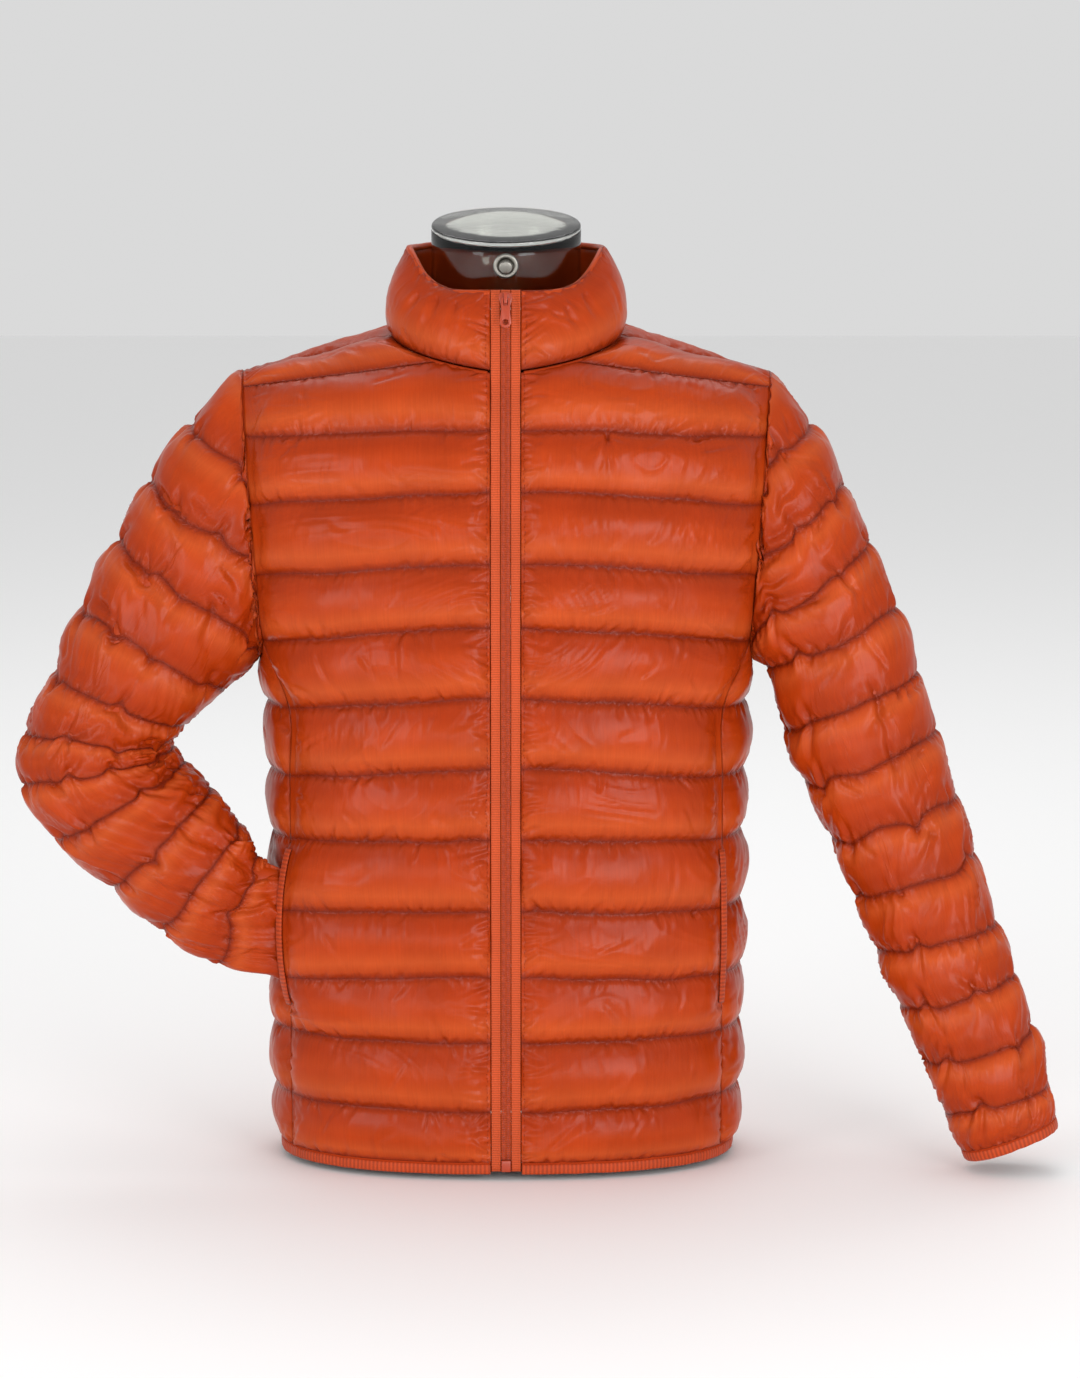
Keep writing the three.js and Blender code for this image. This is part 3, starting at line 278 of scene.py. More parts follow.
def superDepth(x, halfWidth, depth, power):
    return depth * (1.0 - np.minimum(1.0, np.abs(x) / halfWidth) ** power) ** (1.0 / power)


def points(x, y, z):
    x, y, z = np.broadcast_arrays(np.asarray(x, float), np.asarray(y, float), np.asarray(z, float))
    return np.stack([x, y, z], axis=-1)


def ovalPoints(angle, halfWidth, depth, squareness, z):
    power = 2 / squareness
    return points(halfWidth * signedPower(np.cos(angle), power), depth * signedPower(np.sin(angle), power), z)


def unit(vectors):
    return vectors / np.maximum(np.linalg.norm(vectors, axis=-1, keepdims=True), 1e-9)


def armholePoint(side, angle):
    up = (1.0 + np.cos(angle)) / 2.0
    swing = np.sin(angle)
    depth = np.where(swing > 0, armhole["frontDepth"], armhole["backDepth"])
    top, low = armhole["top"], armhole["low"]
    return points(side * mix(low[0], top[0], up), mix(low[1], top[1], up) - depth * signedPower(swing, 0.85),
                  mix(low[2], top[2], up))


def armholeSeam(side, angle):
    # the seam's point, the way both walls stand out in there, and the way to the sleeve
    at = armholePoint(side, angle)
    middle = [(armhole["top"][k] + armhole["low"][k]) / 2 for k in (1, 2)]
    radial = unit(points(0.0, at[..., 1] - middle[0], at[..., 2] - middle[1]))
    out = unit(radial + np.array([0.4 * side, 0.0, 0.0]))
    toSleeve = unit(np.array([side, 0.0, 0.0]) - out * (side * out[..., :1]))
    return at, out, toSleeve


def armholeAngle(z):
    top, low = armhole["top"][2], armhole["low"][2]
    return np.arccos(np.clip(2.0 * (z - low) / (top - low) - 1.0, -1.0, 1.0))


def armholeEdge(side, angle):
    at, _, toSleeve = armholeSeam(side, angle)
    return at - toSleeve * jacket["seamGap"] / 2


def collarRing(ring, angle):
    share = (1.0 - np.cos(angle)) / 2.0
    if "ease" in ring:
        risen = share ** ring["ease"]
    else:
        risen = smooth((share - ring["from"]) / (ring["to"] - ring["from"]))
    return points(ring["halfX"] * np.sin(angle), ring["middleY"] - ring["halfY"] * np.cos(angle),
                  ring["frontZ"] + ring["rise"] * risen)


def gridNormals(rows, closed=False):
    if closed:
        across = np.roll(rows, -1, axis=1) - np.roll(rows, 1, axis=1)
    else:
        across = np.gradient(rows, axis=1)
    up = np.gradient(rows, axis=0)
    return unit(np.cross(across, up))


def rowsBetween(lines, steps):
    place = np.linspace(0, len(lines) - 1, (len(lines) - 1) * steps + 1)
    flat = np.array(lines).reshape(len(lines), -1)
    return tableAt(flat, place).reshape(len(place), -1, 3)


def pocketOpen(z):
    t = np.clip((z - pocket["bottomZ"]) / (pocket["topZ"] - pocket["bottomZ"]), 0.0, 1.0)
    return np.sin(np.pi * t) ** 0.6


def openPocket(rows, amount):
    away = unit(points(rows[..., 0] * 0.6, rows[..., 1] * 2.2, 0.0))
    return rows + away * amount[..., None]


# Panels: each gives the rows of its base surface, from its lower edge up and anticlockwise seen from above

grid = {
    "rowSteps": 12,         # from one quilting line to the next
    "columnSize": 4.4,
    "widths": {"front": 172, "yoke": 150, "halfBack": 215, "side": 128, "sleeve": 330, "collar": 480},
}


def columnsOf(panel):
    return int(grid["widths"][panel] / grid["columnSize"])


def outerEdge(side, line, behind=False):
    z = quiltLines[line, 1]
    if line >= jacket["armpitLine"]:
        return armholeEdge(side, armholeAngle(z) * (-1.0 if behind else 1.0))
    _, halfWidth, front, back = sectionAt(z)
    x = jacket["sideSeamX"]
    return points(side * x, superDepth(x, halfWidth, back if behind else front, jacket["squareness"]), z)


def panelLine(side, line, share, behind=False):
    # one quilting line of the front, or of half the back, from its middle to its outer edge
    edge = outerEdge(side, line, behind)
    middleZ = quiltLines[line, 2 if behind else 0]
    depth = sectionAt(min(bodyTop, middleZ))[3 if behind else 2]
    power = jacket["squareness"]
    reach = abs(edge[0])
    halfWidth = reach / (1.0 - min(0.995, edge[1] / depth) ** power) ** (1.0 / power)
    x = mix(0.0 if behind else jacket["zipHalfWidth"] + jacket["seamGap"] / 2, reach, share)
    return points(side * x, superDepth(x, halfWidth, depth, power), mix(middleZ, edge[2], share ** 1.6))


def yokeFrontLine(side, share):
    edge = outerEdge(side, jacket["yokeLine"])
    reach = abs(edge[0])
    start = jacket["yokeStartX"]
    x = mix(jacket["zipHalfWidth"] + jacket["seamGap"] / 2, reach, share)
    onNeck = collarRing(neckRing, np.arcsin(np.minimum(x, start) / neckRing["halfX"]))
    across = np.clip((x - start) / (reach - start), 0.0, 1.0)
    return points(side * x, mix(onNeck[:, 1], edge[1], across ** 1.5), mix(onNeck[:, 2], edge[2], across))


def shoulderSeam(side, across, behind):
    neck = collarRing(neckRing, np.pi / 2)
    edge = armholeEdge(side, 0.0)
    drop = 1.0 - (1.0 - across) ** 1.2
    return points(side * mix(neck[0], abs(edge[0]), across), mix(neck[1], edge[1], across) + behind,
                  mix(neck[2], edge[2], drop))


def rowHeights(steps, lowLine, highLine):
    place = np.linspace(lowLine, highLine, (highLine - lowLine) * steps + 1)
    return place, np.interp(place, np.arange(len(quiltLines)), quiltLines[:, 1])


def settleEdge(rows, side, place, heights, behind, share):
    # brings the outer edge onto the armhole above the armpit and holds it off the seam below
    angle = armholeAngle(heights) * (-1.0 if behind else 1.0)
    target = armholeEdge(side, angle)
    above = place >= jacket["armpitLine"]
    shift = np.where(above[:, None], target - rows[:, -1], 0.0)
    fade = smooth((share - 0.6) / 0.4)[None, :, None]
    rows = rows + shift[:, None, :] * fade
    inset = unit(rows[:, -2] - rows[:, -1]) * jacket["edgeInset"]
    rows[:, -1] += np.where(above[:, None], 0.0, inset)
    return rows


def frontRows(side):
    share = np.linspace(0.0, 1.0, columnsOf("front")) ** 1.05
    lines = [panelLine(side, line, share) for line in range(jacket["yokeLine"])]
    lines.append(yokeFrontLine(side, share))
    rows = rowsBetween(lines, grid["rowSteps"])
    place, heights = rowHeights(grid["rowSteps"], 0, jacket["yokeLine"])
    rows = settleEdge(rows, side, place, heights, False, share)
    lift = pocket["lift"][side][0]
    nearEdge = smooth((share - 0.45) / 0.55) ** 1.4
    rows = openPocket(rows, lift * pocketOpen(rows[..., 2]) * nearEdge[None, :])
    return rows if side > 0 else rows[:, ::-1]


def yokeRows(side, behind):
    # the shoulder channel of the front, or of the back
    across = np.linspace(0.0, 1.0, columnsOf("yoke"))
    steps = grid["rowSteps"]
    share = mix(jacket["backNeckShare" if behind else "yokeShare"], 1.0, across)
    below = panelLine(side, jacket["yokeLine"] - 1, share, behind)
    if behind:
        start = backYokeLine(side, share)
        firstAngle = np.pi - np.arcsin(abs(start[0, 0]) / neckRing["halfX"]) * 0.96
        overlap = jacket["shoulderOverlap"]
    else:
        start = yokeFrontLine(side, share)
        firstAngle = np.arcsin(jacket["yokeStartX"] / neckRing["halfX"])
        overlap = 0.0
    rows = rowsBetween([below, start, shoulderSeam(side, across, overlap)], steps)[steps:]
    t = np.linspace(0.0, 1.0, len(rows))
    neck = collarRing(neckRing, mix(firstAngle, np.pi / 2, t)) * np.array([side, 1.0, 1.0])
    neck[-1, 1] += overlap
    rows = rows + (neck - rows[:, 0])[:, None, :] * (smooth(1.0 - across / 0.4))[None, :, None]
    _, heights = rowHeights(steps, jacket["yokeLine"], shoulderLine)
    angle = armholeAngle(heights) * (-1.0 if behind else 1.0)
    edge = armholeEdge(side, angle)
    edge[-1, 1] += overlap
    rows = rows + (edge - rows[:, -1])[:, None, :] * smooth((across - 0.6) / 0.4)[None, :, None]
    return rows if (side > 0) != behind else rows[:, ::-1]


def backYokeLine(side, share):
    edge = outerEdge(side, jacket["yokeLine"], True)
    neckShare = jacket["backNeckShare"]
    x = abs(edge[0]) * share
    reach = neckShare * abs(edge[0])
    onNeck = collarRing(neckRing, np.pi - np.arcsin(np.minimum(x, reach) / neckRing["halfX"]) * 0.96)
    across = np.clip((share - neckShare) / (1.0 - neckShare), 0.0, 1.0)
    level = np.minimum(1.0, share / neckShare)
    y = np.where(share <= neckShare, onNeck[:, 1], mix(onNeck[:, 1], edge[1], across ** 1.4))
    z = np.where(share <= neckShare, onNeck[:, 2], mix(onNeck[:, 2], edge[2], across ** 0.8))
    return points(side * x, y + 1.5 * (1.0 - level), z)


def backRows():
    half = np.linspace(0.0, 1.0, columnsOf("halfBack"))
    place, heights = rowHeights(grid["rowSteps"], 0, jacket["yokeLine"])
    halves = []
    for side in (1, -1):
        lines = [panelLine(side, line, half, True) for line in range(jacket["yokeLine"])]
        lines.append(backYokeLine(side, half))
        rows = rowsBetween(lines, grid["rowSteps"])
        halves.append(settleEdge(rows, side, place, heights, True, half))
    return np.concatenate([halves[0][:, ::-1], halves[1][:, 1:]], axis=1)


def sideRows(side):
    columns = columnsOf("side")
    share = np.linspace(0.0, 1.0, columns)
    lines = []
    power = jacket["squareness"]
    for line in range(jacket["armpitLine"] + 1):
        z = quiltLines[line, 1]
        if line == jacket["armpitLine"]:
            join = armholeAngle(z)
            lines.append(armholeEdge(side, mix(join, 2 * np.pi - join, share)))
            continue
        _, halfWidth, front, back = sectionAt(z)
        join = np.arccos((jacket["sideSeamX"] / halfWidth) ** (power / 2))
        angle = mix(-join, join, share)
        depth = np.where(np.sin(angle) < 0, -front, back)
        lines.append(ovalPoints(angle, side * halfWidth, depth, power, z))
    rows = rowsBetween(lines, grid["rowSteps"])
    front, back = plainEdge(side, False), plainEdge(side, True)
    rows = rows + (front[: len(rows)] - rows[:, 0])[:, None, :] * smooth(1.0 - share / 0.5)[None, :, None]
    rows = rows + (back[: len(rows)] - rows[:, -1])[:, None, :] * smooth((share - 0.5) / 0.5)[None, :, None]
    below = np.ones(len(rows))[:, None]
    below[-1] = 0.1
    rows[:, 0] += unit(rows[:, 1] - rows[:, 0]) * 2 * jacket["edgeInset"] * below
    rows[:, -1] += unit(rows[:, -2] - rows[:, -1]) * 2 * jacket["edgeInset"] * below
    lift = pocket["lift"][side][1]
    nearMouth = 1.0 - smooth(share / 0.6)
    rows = openPocket(rows, lift * pocketOpen(rows[..., 2]) * nearMouth[None, :])
    return rows if side > 0 else rows[:, ::-1]


def plainEdge(side, behind):
    share = np.array([0.9, 1.0])
    lines = [panelLine(side, line, share, behind) for line in range(jacket["armpitLine"] + 2)]
    return rowsBetween(lines, grid["rowSteps"])[:, 1]


def sleeveRing(side, place, angle):
    row = tableAt(np.array(sleeves[side], float), place)
    outerX, outerZ, innerX, innerZ, middleY, halfDepth = np.moveaxis(row, -1, 0)
    power = 2 / sleeves["squareness"]
    out = signedPower(np.cos(angle), power)
    front = signedPower(np.sin(angle), power)
    return points(side * ((outerX + innerX) / 2 + (outerX - innerX) / 2 * out), middleY - halfDepth * front,
                  (outerZ + innerZ) / 2 + (outerZ - innerZ) / 2 * out)


def capStart(angle):
    return sleeves["capLines"] * (1.0 - np.cos(angle)) / 2.0


def sleevePoint(side, place, angle):
    start = capStart(angle)
    at = np.maximum(place, start)
    away = np.clip((at - start) / sleeves["capBlend"], 0.0, 1.0)
    fade = (1.0 - away) ** 2 * (1.0 + 2.0 * away)
    seam, _, toSleeve = armholeSeam(side, angle)
    shift = seam + toSleeve * jacket["seamGap"] / 2 - sleeveRing(side, start, angle)
    return sleeveRing(side, at, angle) + shift * fade[..., None]


def sleeveSheet(side):
    # the sleeve opened out along its underarm seam
    columns = columnsOf("sleeve")
    angle = np.linspace(-np.pi, np.pi, columns + 1) * side
    last = len(sleeves[side]) - 1
    place = np.linspace(0.0, last, last * grid["rowSteps"] + 1)
    gathered = capStart(angle)[None, :] + sleeves["capSpread"] * place[:, None]
    at = np.maximum(place[:, None], gathered)
    angles = np.broadcast_to(angle, at.shape)
    return sleevePoint(side, at, angles), at, angles


def collarRows():
    opening = jacket["zipHalfWidth"] + jacket["seamGap"] / 2
    share = np.linspace(0.0, 1.0, columnsOf("collar"))
    edges = []
    for ring, lift in ((neckRing, 2.2), (collarTop, 0.0)):
        start = np.arcsin(opening / ring["halfX"])
        edges.append(collarRing(ring, mix(start, 2 * np.pi - start, share)) + np.array([0.0, 0.0, lift]))
    return np.array([mix(edges[0], edges[1], up) for up in np.linspace(0.0, 1.0, 19)])


print("base surfaces are defined")

# Materials


def newGroup(name, inputs, outputs):
    tree = bpy.data.node_groups.new(name, "ShaderNodeTree")
    for socket, kind, value in inputs:
        made = tree.interface.new_socket(socket, in_out="INPUT", socket_type=kind)
        if value is not None:
            made.default_value = value
    for socket, kind in outputs:
        tree.interface.new_socket(socket, in_out="OUTPUT", socket_type=kind)
    return tree, tree.nodes.new("NodeGroupInput"), tree.nodes.new("NodeGroupOutput")


def clothGroup():
    # thread streaks and crinkles over a piece's own cloth coordinates, which are in metres
    tree, given, made = newGroup(
        "clothSurface",
        [("Cloth", "NodeSocketVector", None), ("Streaks", "NodeSocketFloat", 900.0),
         ("Streak length", "NodeSocketFloat", 30.0), ("Crinkles", "NodeSocketFloat", 95.0)],
        [("Thread", "NodeSocketFloat"), ("Crinkle", "NodeSocketFloat"), ("Mottle", "NodeSocketFloat")])
    cloth = given.outputs["Cloth"]
    across = addNode(tree, "ShaderNodeCombineXYZ",
                     {"X": given.outputs["Streaks"], "Y": given.outputs["Streak length"]})
    threads = addNode(tree, "ShaderNodeVectorMath", {0: cloth, 1: across.outputs[0]}, operation="MULTIPLY")
    threadNoise = addNode(tree, "ShaderNodeTexNoise",
                          {"Vector": threads.outputs[0], "Scale": 1.0, "Detail": 2.0})
    squeezed = addNode(tree, "ShaderNodeVectorMath", {0: cloth, 1: (1.0, 0.45, 1.0)}, operation="MULTIPLY")
    crinkleNoise = addNode(tree, "ShaderNodeTexNoise",
                           {"Vector": squeezed.outputs[0], "Scale": given.outputs["Crinkles"], "Detail": 3.0,
                            "Distortion": 0.6}, noise_type="RIDGED_MULTIFRACTAL")
    mottle = addNode(tree, "ShaderNodeTexNoise", {"Vector": cloth, "Scale": 22.0, "Detail": 3.0})
    feed(tree, made, {"Thread": threadNoise.outputs["Fac"], "Crinkle": crinkleNoise.outputs["Fac"],
                      "Mottle": mottle.outputs["Fac"]})
    return tree


def toned(tree, colour, factor, low, high, start=0.0, end=1.0):
    # a colour made darker or lighter as a factor goes from start to end
    tone = addNode(tree, "ShaderNodeMapRange", {"Value": factor, "From Min": start, "From Max": end,
                                                "To Min": low, "To Max": high})
    shaded = addNode(tree, "ShaderNodeMix", data_type="RGBA", blend_type="MULTIPLY")
    feed(tree, shaded, {"Factor": 1.0, "A": colour, "B": tone.outputs["Result"]})
    return shaded.outputs["Result"]


def bumped(tree, height, strength, distance, under=None):
    bump = addNode(tree, "ShaderNodeBump", {"Height": height, "Strength": strength, "Distance": distance})
    if under is not None:
        feed(tree, bump, {"Normal": under})
    return bump.outputs["Normal"]


def grain(material, scale, low, high, detail=2.0, depth=0.0):
    # uneven roughness all over a material, and faint bumps where it has a depth
    tree = material.node_tree
    shader = tree.nodes["Principled BSDF"]
    place = addNode(tree, "ShaderNodeTexCoord")
    noise = addNode(tree, "ShaderNodeTexNoise",
                    {"Vector": place.outputs["Object"], "Scale": scale, "Detail": detail}).outputs["Fac"]
    tone = addNode(tree, "ShaderNodeMapRange", {"Value": noise, "To Min": low, "To Max": high})
    feed(tree, shader, {"Roughness": tone.outputs["Result"]})
    if depth:
        feed(tree, shader, {"Normal": bumped(tree, noise, 0.12, depth)})


clothSurface = clothGroup()

# the channel colours are painted light and shade: dark at each sewn line for the shade in its valley, lighter
# over the lower part of a channel, which faces down towards the bright floor, and darker over the upper part,
# which faces up
shellLook = {
    "lowerPaintedLightAndShade": [  # from a sewn line, 0, up to the middle of its channel, 1, and the colour there
        (0.0, (0.175, 0.014, 0.002)),
        (0.06, (0.26, 0.024, 0.003)),
        (0.18, (0.40, 0.047, 0.006)),
        (0.48, (0.45, 0.063, 0.011)),
        (1.0, (0.385, 0.038, 0.003)),
    ],
    "upperPaintedShade": [  # the same from the line above down
        (0.0, (0.175, 0.014, 0.002)),
        (0.10, (0.26, 0.021, 0.002)),
        (0.30, (0.31, 0.026, 0.002)),
        (1.0, (0.385, 0.038, 0.003)),
    ],
    "roughness": 0.31,
    "specular": 0.14,
    "crinkleDepth": 0.0010,
    "threadDepth": 0.00005,
    "puckerDepth": 0.0011,
    "puckers": (300.0, 70.0),   # across and up, for one metre
    "puckerReach": 0.2,         # how far from a sewn line, as a share of its channel
}


def makeShellCloth():
    look = shellLook
    material = newMaterial("shellCloth", look["lowerPaintedLightAndShade"][-1][1], look["roughness"],
                           Specular_IOR_Level=look["specular"])
    tree = material.node_tree
    cloth = addNode(tree, "ShaderNodeUVMap", uv_map="cloth").outputs["UV"]
    surface = addNode(tree, "ShaderNodeGroup", {"Cloth": cloth}, node_tree=clothSurface).outputs
    channel, litLowerHalf = [addNode(tree, "ShaderNodeAttribute", attribute_name=name,
                             attribute_type="GEOMETRY").outputs["Fac"] for name in ("channel", "litLowerHalf")]
    # a mix of the two ramps by the half of its channel a point is in: painted light on the lower half,
    # painted shade on the upper half and at the sewn lines
    paintedChannelShading = addNode(tree, "ShaderNodeMix", data_type="RGBA")
    feed(tree, paintedChannelShading, {"Factor": litLowerHalf})
    for stopsName, socket in (("upperPaintedShade", "A"), ("lowerPaintedLightAndShade", "B")):
        ramp = addNode(tree, "ShaderNodeValToRGB", {"Fac": channel})
        stops = ramp.color_ramp.elements
        while len(stops) < len(look[stopsName]):
            stops.new(0.5)
        for stop, (place, colour) in zip(stops, look[stopsName]):
            stop.position = place
            stop.color = (*colour, 1.0)
        feed(tree, paintedChannelShading, {socket: ramp.outputs["Color"]})
    colour = toned(tree, paintedChannelShading.outputs["Result"], surface["Thread"], 0.94, 1.05, 0.3, 0.7)
    colour = toned(tree, colour, surface["Mottle"], 0.9, 1.08, 0.3, 0.7)
    squeezed = addNode(tree, "ShaderNodeVectorMath", {0: cloth, 1: (*look["puckers"], 1.0)},
                       operation="MULTIPLY").outputs[0]
    puckers = addNode(tree, "ShaderNodeTexNoise", {"Vector": squeezed, "Scale": 1.0, "Detail": 1.0})
    nearSeam = addNode(tree, "ShaderNodeMapRange", interpolation_type="SMOOTHSTEP")
    feed(tree, nearSeam, {"Value": channel, "From Min": 2.0 * look["puckerReach"], "From Max": 0.0})
    height = addNode(tree, "ShaderNodeMath", {0: puckers.outputs["Fac"], 1: nearSeam.outputs["Result"]},
                     operation="MULTIPLY")
    normal = bumped(tree, height.outputs[0], 0.8, look["puckerDepth"])
    normal = bumped(tree, surface["Crinkle"], 0.55, look["crinkleDepth"], normal)
    normal = bumped(tree, surface["Thread"], 0.5, look["threadDepth"], normal)
    feed(tree, tree.nodes["Principled BSDF"], {"Base Color": colour, "Normal": normal})
    return material


shellCloth = makeShellCloth()

# Quilted cloth: a grid is puffed by simulation, made finer and closed with a plain inside

puffing = {
    "scale": 0.01,      # the simulation works at ten times real size
    "frames": 24,
    "pressure": 6.0,
    "sagitta": 0.165,    # height of a channel's cut, as a share of its width
    "zigzag": 0.16,     # spare cloth along a channel, as a share of the grid's spacing
    "edgeBlend": 15.0,  # mm from a panel's edge to its full puff
    # how many times finer than the simulation each panel is, up and across
    "fine": {"front": (3, 3), "yoke": (2, 3), "sleeve": (2, 3), "collar": (3, 3)},
}
clothSettings = {
    "quality": 5,
    "mass": 0.15,
    "tension_stiffness": 18,
    "compression_stiffness": 12,
    "shear_stiffness": 6,
    "bending_model": "LINEAR",
    "bending_stiffness": 0.12,
    "air_damping": 1.0,
    "vertex_group_mass": "sewn",
    "use_pressure": True,
    "uniform_pressure_force": puffing["pressure"],
}


def fixedRandom(shape, seed):
    return np.random.default_rng(seed).uniform(-1.0, 1.0, shape)


def channelArc(rowCount, steps):
    # fullest below its middle, where the filling settles
    t = ((np.arange(rowCount) % steps) / steps) ** 0.8
    return 4.0 * t * (1.0 - t)


def channelWidths(sewn, steps):
    # each point's own channel width, measured straight from one sewn line to the next
    rowCount = len(sewn)
    low = (np.minimum(np.arange(rowCount), rowCount - 2) // steps) * steps
    return np.linalg.norm(sewn[low + steps] - sewn[low], axis=-1)


def edgeDistances(rows):
    # how far each point is from its row's left and right end
    run = np.zeros(rows.shape[:2])
    run[:, 1:] = np.cumsum(np.linalg.norm(np.diff(rows, axis=1), axis=2), axis=1)
    return run, run[:, -1:] - run


def quiltedPatch(name, rows, steps, fullness=1.0, normals=None, held=None, flatLeft=0.0, flatRight=0.0):
    # rows of a base surface with sewn lines every few rows. held marks further points that are sewn down,
    # and flatLeft and flatRight keep the cloth down beside an edge, in millimetres for each row.
    normals = gridNormals(rows) if normals is None else normals
    sewn = rows + normals * jacket["clothHalf"]
    rowCount, columnCount = rows.shape[:2]
    rise = channelArc(rowCount, steps)[:, None] * channelWidths(sewn, steps) * puffing["sagitta"] * fullness
    left, right = edgeDistances(sewn)
    flatLeft = np.broadcast_to(flatLeft, (rowCount,))[:, None]
    flatRight = np.broadcast_to(flatRight, (rowCount,))[:, None]
    blend = puffing["edgeBlend"]
    rise = rise * (smooth((left - flatLeft) / blend) * smooth((right - flatRight) / blend)) ** 0.5
    pinned = ((left < flatLeft) & (flatLeft > 0)) | ((right < flatRight) & (flatRight > 0))
    pinned[::steps] = True
    pinned[:, [0, -1]] = True
    if held is not None:
        pinned |= held
    return {"name": name, "rows": rows, "normals": normals, "sewn": sewn, "rise": rise, "pinned": pinned,
            "steps": steps, "zipEdges": (), "flatLeft": flatLeft, "flatRight": flatRight,
            "fine": puffing["fine"].get(name.split("_")[0], (2, 2))}


def gridFaces(rowCount, columnCount):
    i, j = np.meshgrid(np.arange(rowCount - 1), np.arange(columnCount - 1), indexing="ij")
    a = (i * columnCount + j).ravel()
    return np.stack([a, a + 1, a + columnCount + 1, a + columnCount], axis=1)


def clothObject(patch):
    scale = puffing["scale"]
    rowCount, columnCount = patch["sewn"].shape[:2]
    seed = sum(map(ord, patch["name"]))
    free = ~patch["pinned"]
    jitter = fixedRandom(free.shape, seed) * 0.35 * free
    start = patch["sewn"] + patch["normals"] * (patch["rise"] * 0.8 + jitter)[..., None]
    mesh = bpy.data.meshes.new(patch["name"] + "Cloth")
    mesh.from_pydata((start.reshape(-1, 3) * scale).tolist(), [], gridFaces(rowCount, columnCount).tolist())
    sheet = newObject(patch["name"] + "Cloth", mesh)
    spacing = np.linalg.norm(np.diff(patch["sewn"], axis=1), axis=2).mean()
    zigzag = np.where(np.arange(columnCount) % 2 == 0, 1.0, -1.0) * puffing["zigzag"] * spacing
    cut = patch["sewn"] + patch["normals"] * (patch["rise"] + zigzag[None, :] * free)[..., None]
    sheet.shape_key_add(name="draped")
    key = sheet.shape_key_add(name="cut")
    key.data.foreach_set("co", (cut * scale).ravel().astype(np.float32))
    pins = sheet.vertex_groups.new(name="sewn")
    pins.add(np.flatnonzero(patch["pinned"].ravel()).tolist(), 1.0, "REPLACE")
    cloth = sheet.modifiers.new("puff", "CLOTH")
    for setting, value in clothSettings.items():
        setattr(cloth.settings, setting, value)
    cloth.settings.rest_shape_key = key
    cloth.settings.effector_weights.gravity = 0.0
    cloth.collision_settings.use_collision = False
    cloth.point_cache.frame_start = 1
    cloth.point_cache.frame_end = puffing["frames"]
    return sheet


def simulate(patches):
    scene = bpy.context.scene
    sheets = [clothObject(patch) for patch in patches]
    for step in range(1, puffing["frames"] + 1):
        scene.frame_set(step)
    graph = bpy.context.evaluated_depsgraph_get()
    for patch, sheet in zip(patches, sheets):
        mesh = sheet.evaluated_get(graph).to_mesh()
        flat = np.empty(len(mesh.vertices) * 3, np.float32)
        mesh.vertices.foreach_get("co", flat)
        patch["outer"] = flat.reshape(patch["sewn"].shape).astype(float) / puffing["scale"]
        sheet.evaluated_get(graph).to_mesh_clear()
    for sheet in sheets:
        discard(sheet)
    scene.frame_set(1)


def finer(rows, times):
    # a smooth curve through every row and column, with more points up and across
    for number in times:
        place = np.linspace(0, len(rows) - 1, (len(rows) - 1) * number + 1)
        flat = rows.reshape(len(rows), -1)
        rows = tableAt(flat, place).reshape(len(place), -1, rows.shape[2]).swapaxes(0, 1)
    return rows


def writeSpread(mesh, spread):
    layer = mesh.uv_layers.new(name="cloth")
    corners = np.empty(len(mesh.loops), np.int32)
    mesh.loops.foreach_get("vertex_index", corners)
    layer.data.foreach_set("uv", np.asarray(spread)[corners].ravel().astype(np.float32))


# A closed wall: the outer grid, a plainer inner grid, and strips that join their four sides

def wallMesh(name, shells, material):
    # shells: pairs of an outer grid and an inner grid of fewer points, both from the same low left corner
    vertices, faces, coordinates, channels, litLowerHalves = [], [], [], [], []
    for outer, inner, spread, place in shells:
        first = sum(len(block) for block in vertices)
        outerRows, outerColumns = outer.shape[:2]
        innerRows, innerColumns = inner.shape[:2]
        stepUp, stepAcross = (outerRows - 1) // (innerRows - 1), (outerColumns - 1) // (innerColumns - 1)
        second = first + outerRows * outerColumns
        vertices += [outer.reshape(-1, 3), inner.reshape(-1, 3)]
        faces += (gridFaces(outerRows, outerColumns) + first).tolist()
        faces += (gridFaces(innerRows, innerColumns)[:, ::-1] + second).tolist()
        out = first + np.arange(outerRows * outerColumns).reshape(outerRows, outerColumns)
        ins = second + np.arange(innerRows * innerColumns).reshape(innerRows, innerColumns)
        edges = [(out[0], ins[0], stepAcross, False), (out[-1], ins[-1], stepAcross, True),
                 (out[:, 0], ins[:, 0], stepUp, True), (out[:, -1], ins[:, -1], stepUp, False)]
        for outerEdge, innerEdge, step, turn in edges:
            for k in range(len(innerEdge) - 1):
                run = outerEdge[k * step: (k + 1) * step + 1].tolist()
                corner = [*run, int(innerEdge[k + 1]), int(innerEdge[k])]
                faces.append(corner if turn else corner[::-1])
        coordinates += [spread.reshape(-1, 2), np.zeros((innerRows * innerColumns, 2))]
        channels += [place.ravel(), np.full(innerRows * innerColumns, 0.5)]
        # the weight of the painted light on a channel's lower half against the painted shade on its upper
        # half; the inner grid takes an even mix
        litLowerHalves += [0.5 + 0.5 * np.sin(2.0 * np.pi * place.ravel()), np.full(innerRows * innerColumns, 0.5)]
    mesh = bpy.data.meshes.new(name)
    mesh.from_pydata((np.concatenate(vertices) * mm).tolist(), [], faces)
    writeSpread(mesh, np.concatenate(coordinates))
    fromSeam = 1.0 - np.abs(2.0 * np.concatenate(channels) - 1.0)
    for attribute, values in (("channel", fromSeam), ("litLowerHalf", np.concatenate(litLowerHalves))):
        mesh.attributes.new(attribute, "FLOAT", "POINT").data.foreach_set("value", values.astype(np.float32))
    mesh.polygons.foreach_set("use_smooth", [True] * len(mesh.polygons))
    mesh.materials.append(material)
    mesh.validate()
    return newObject(name, mesh)


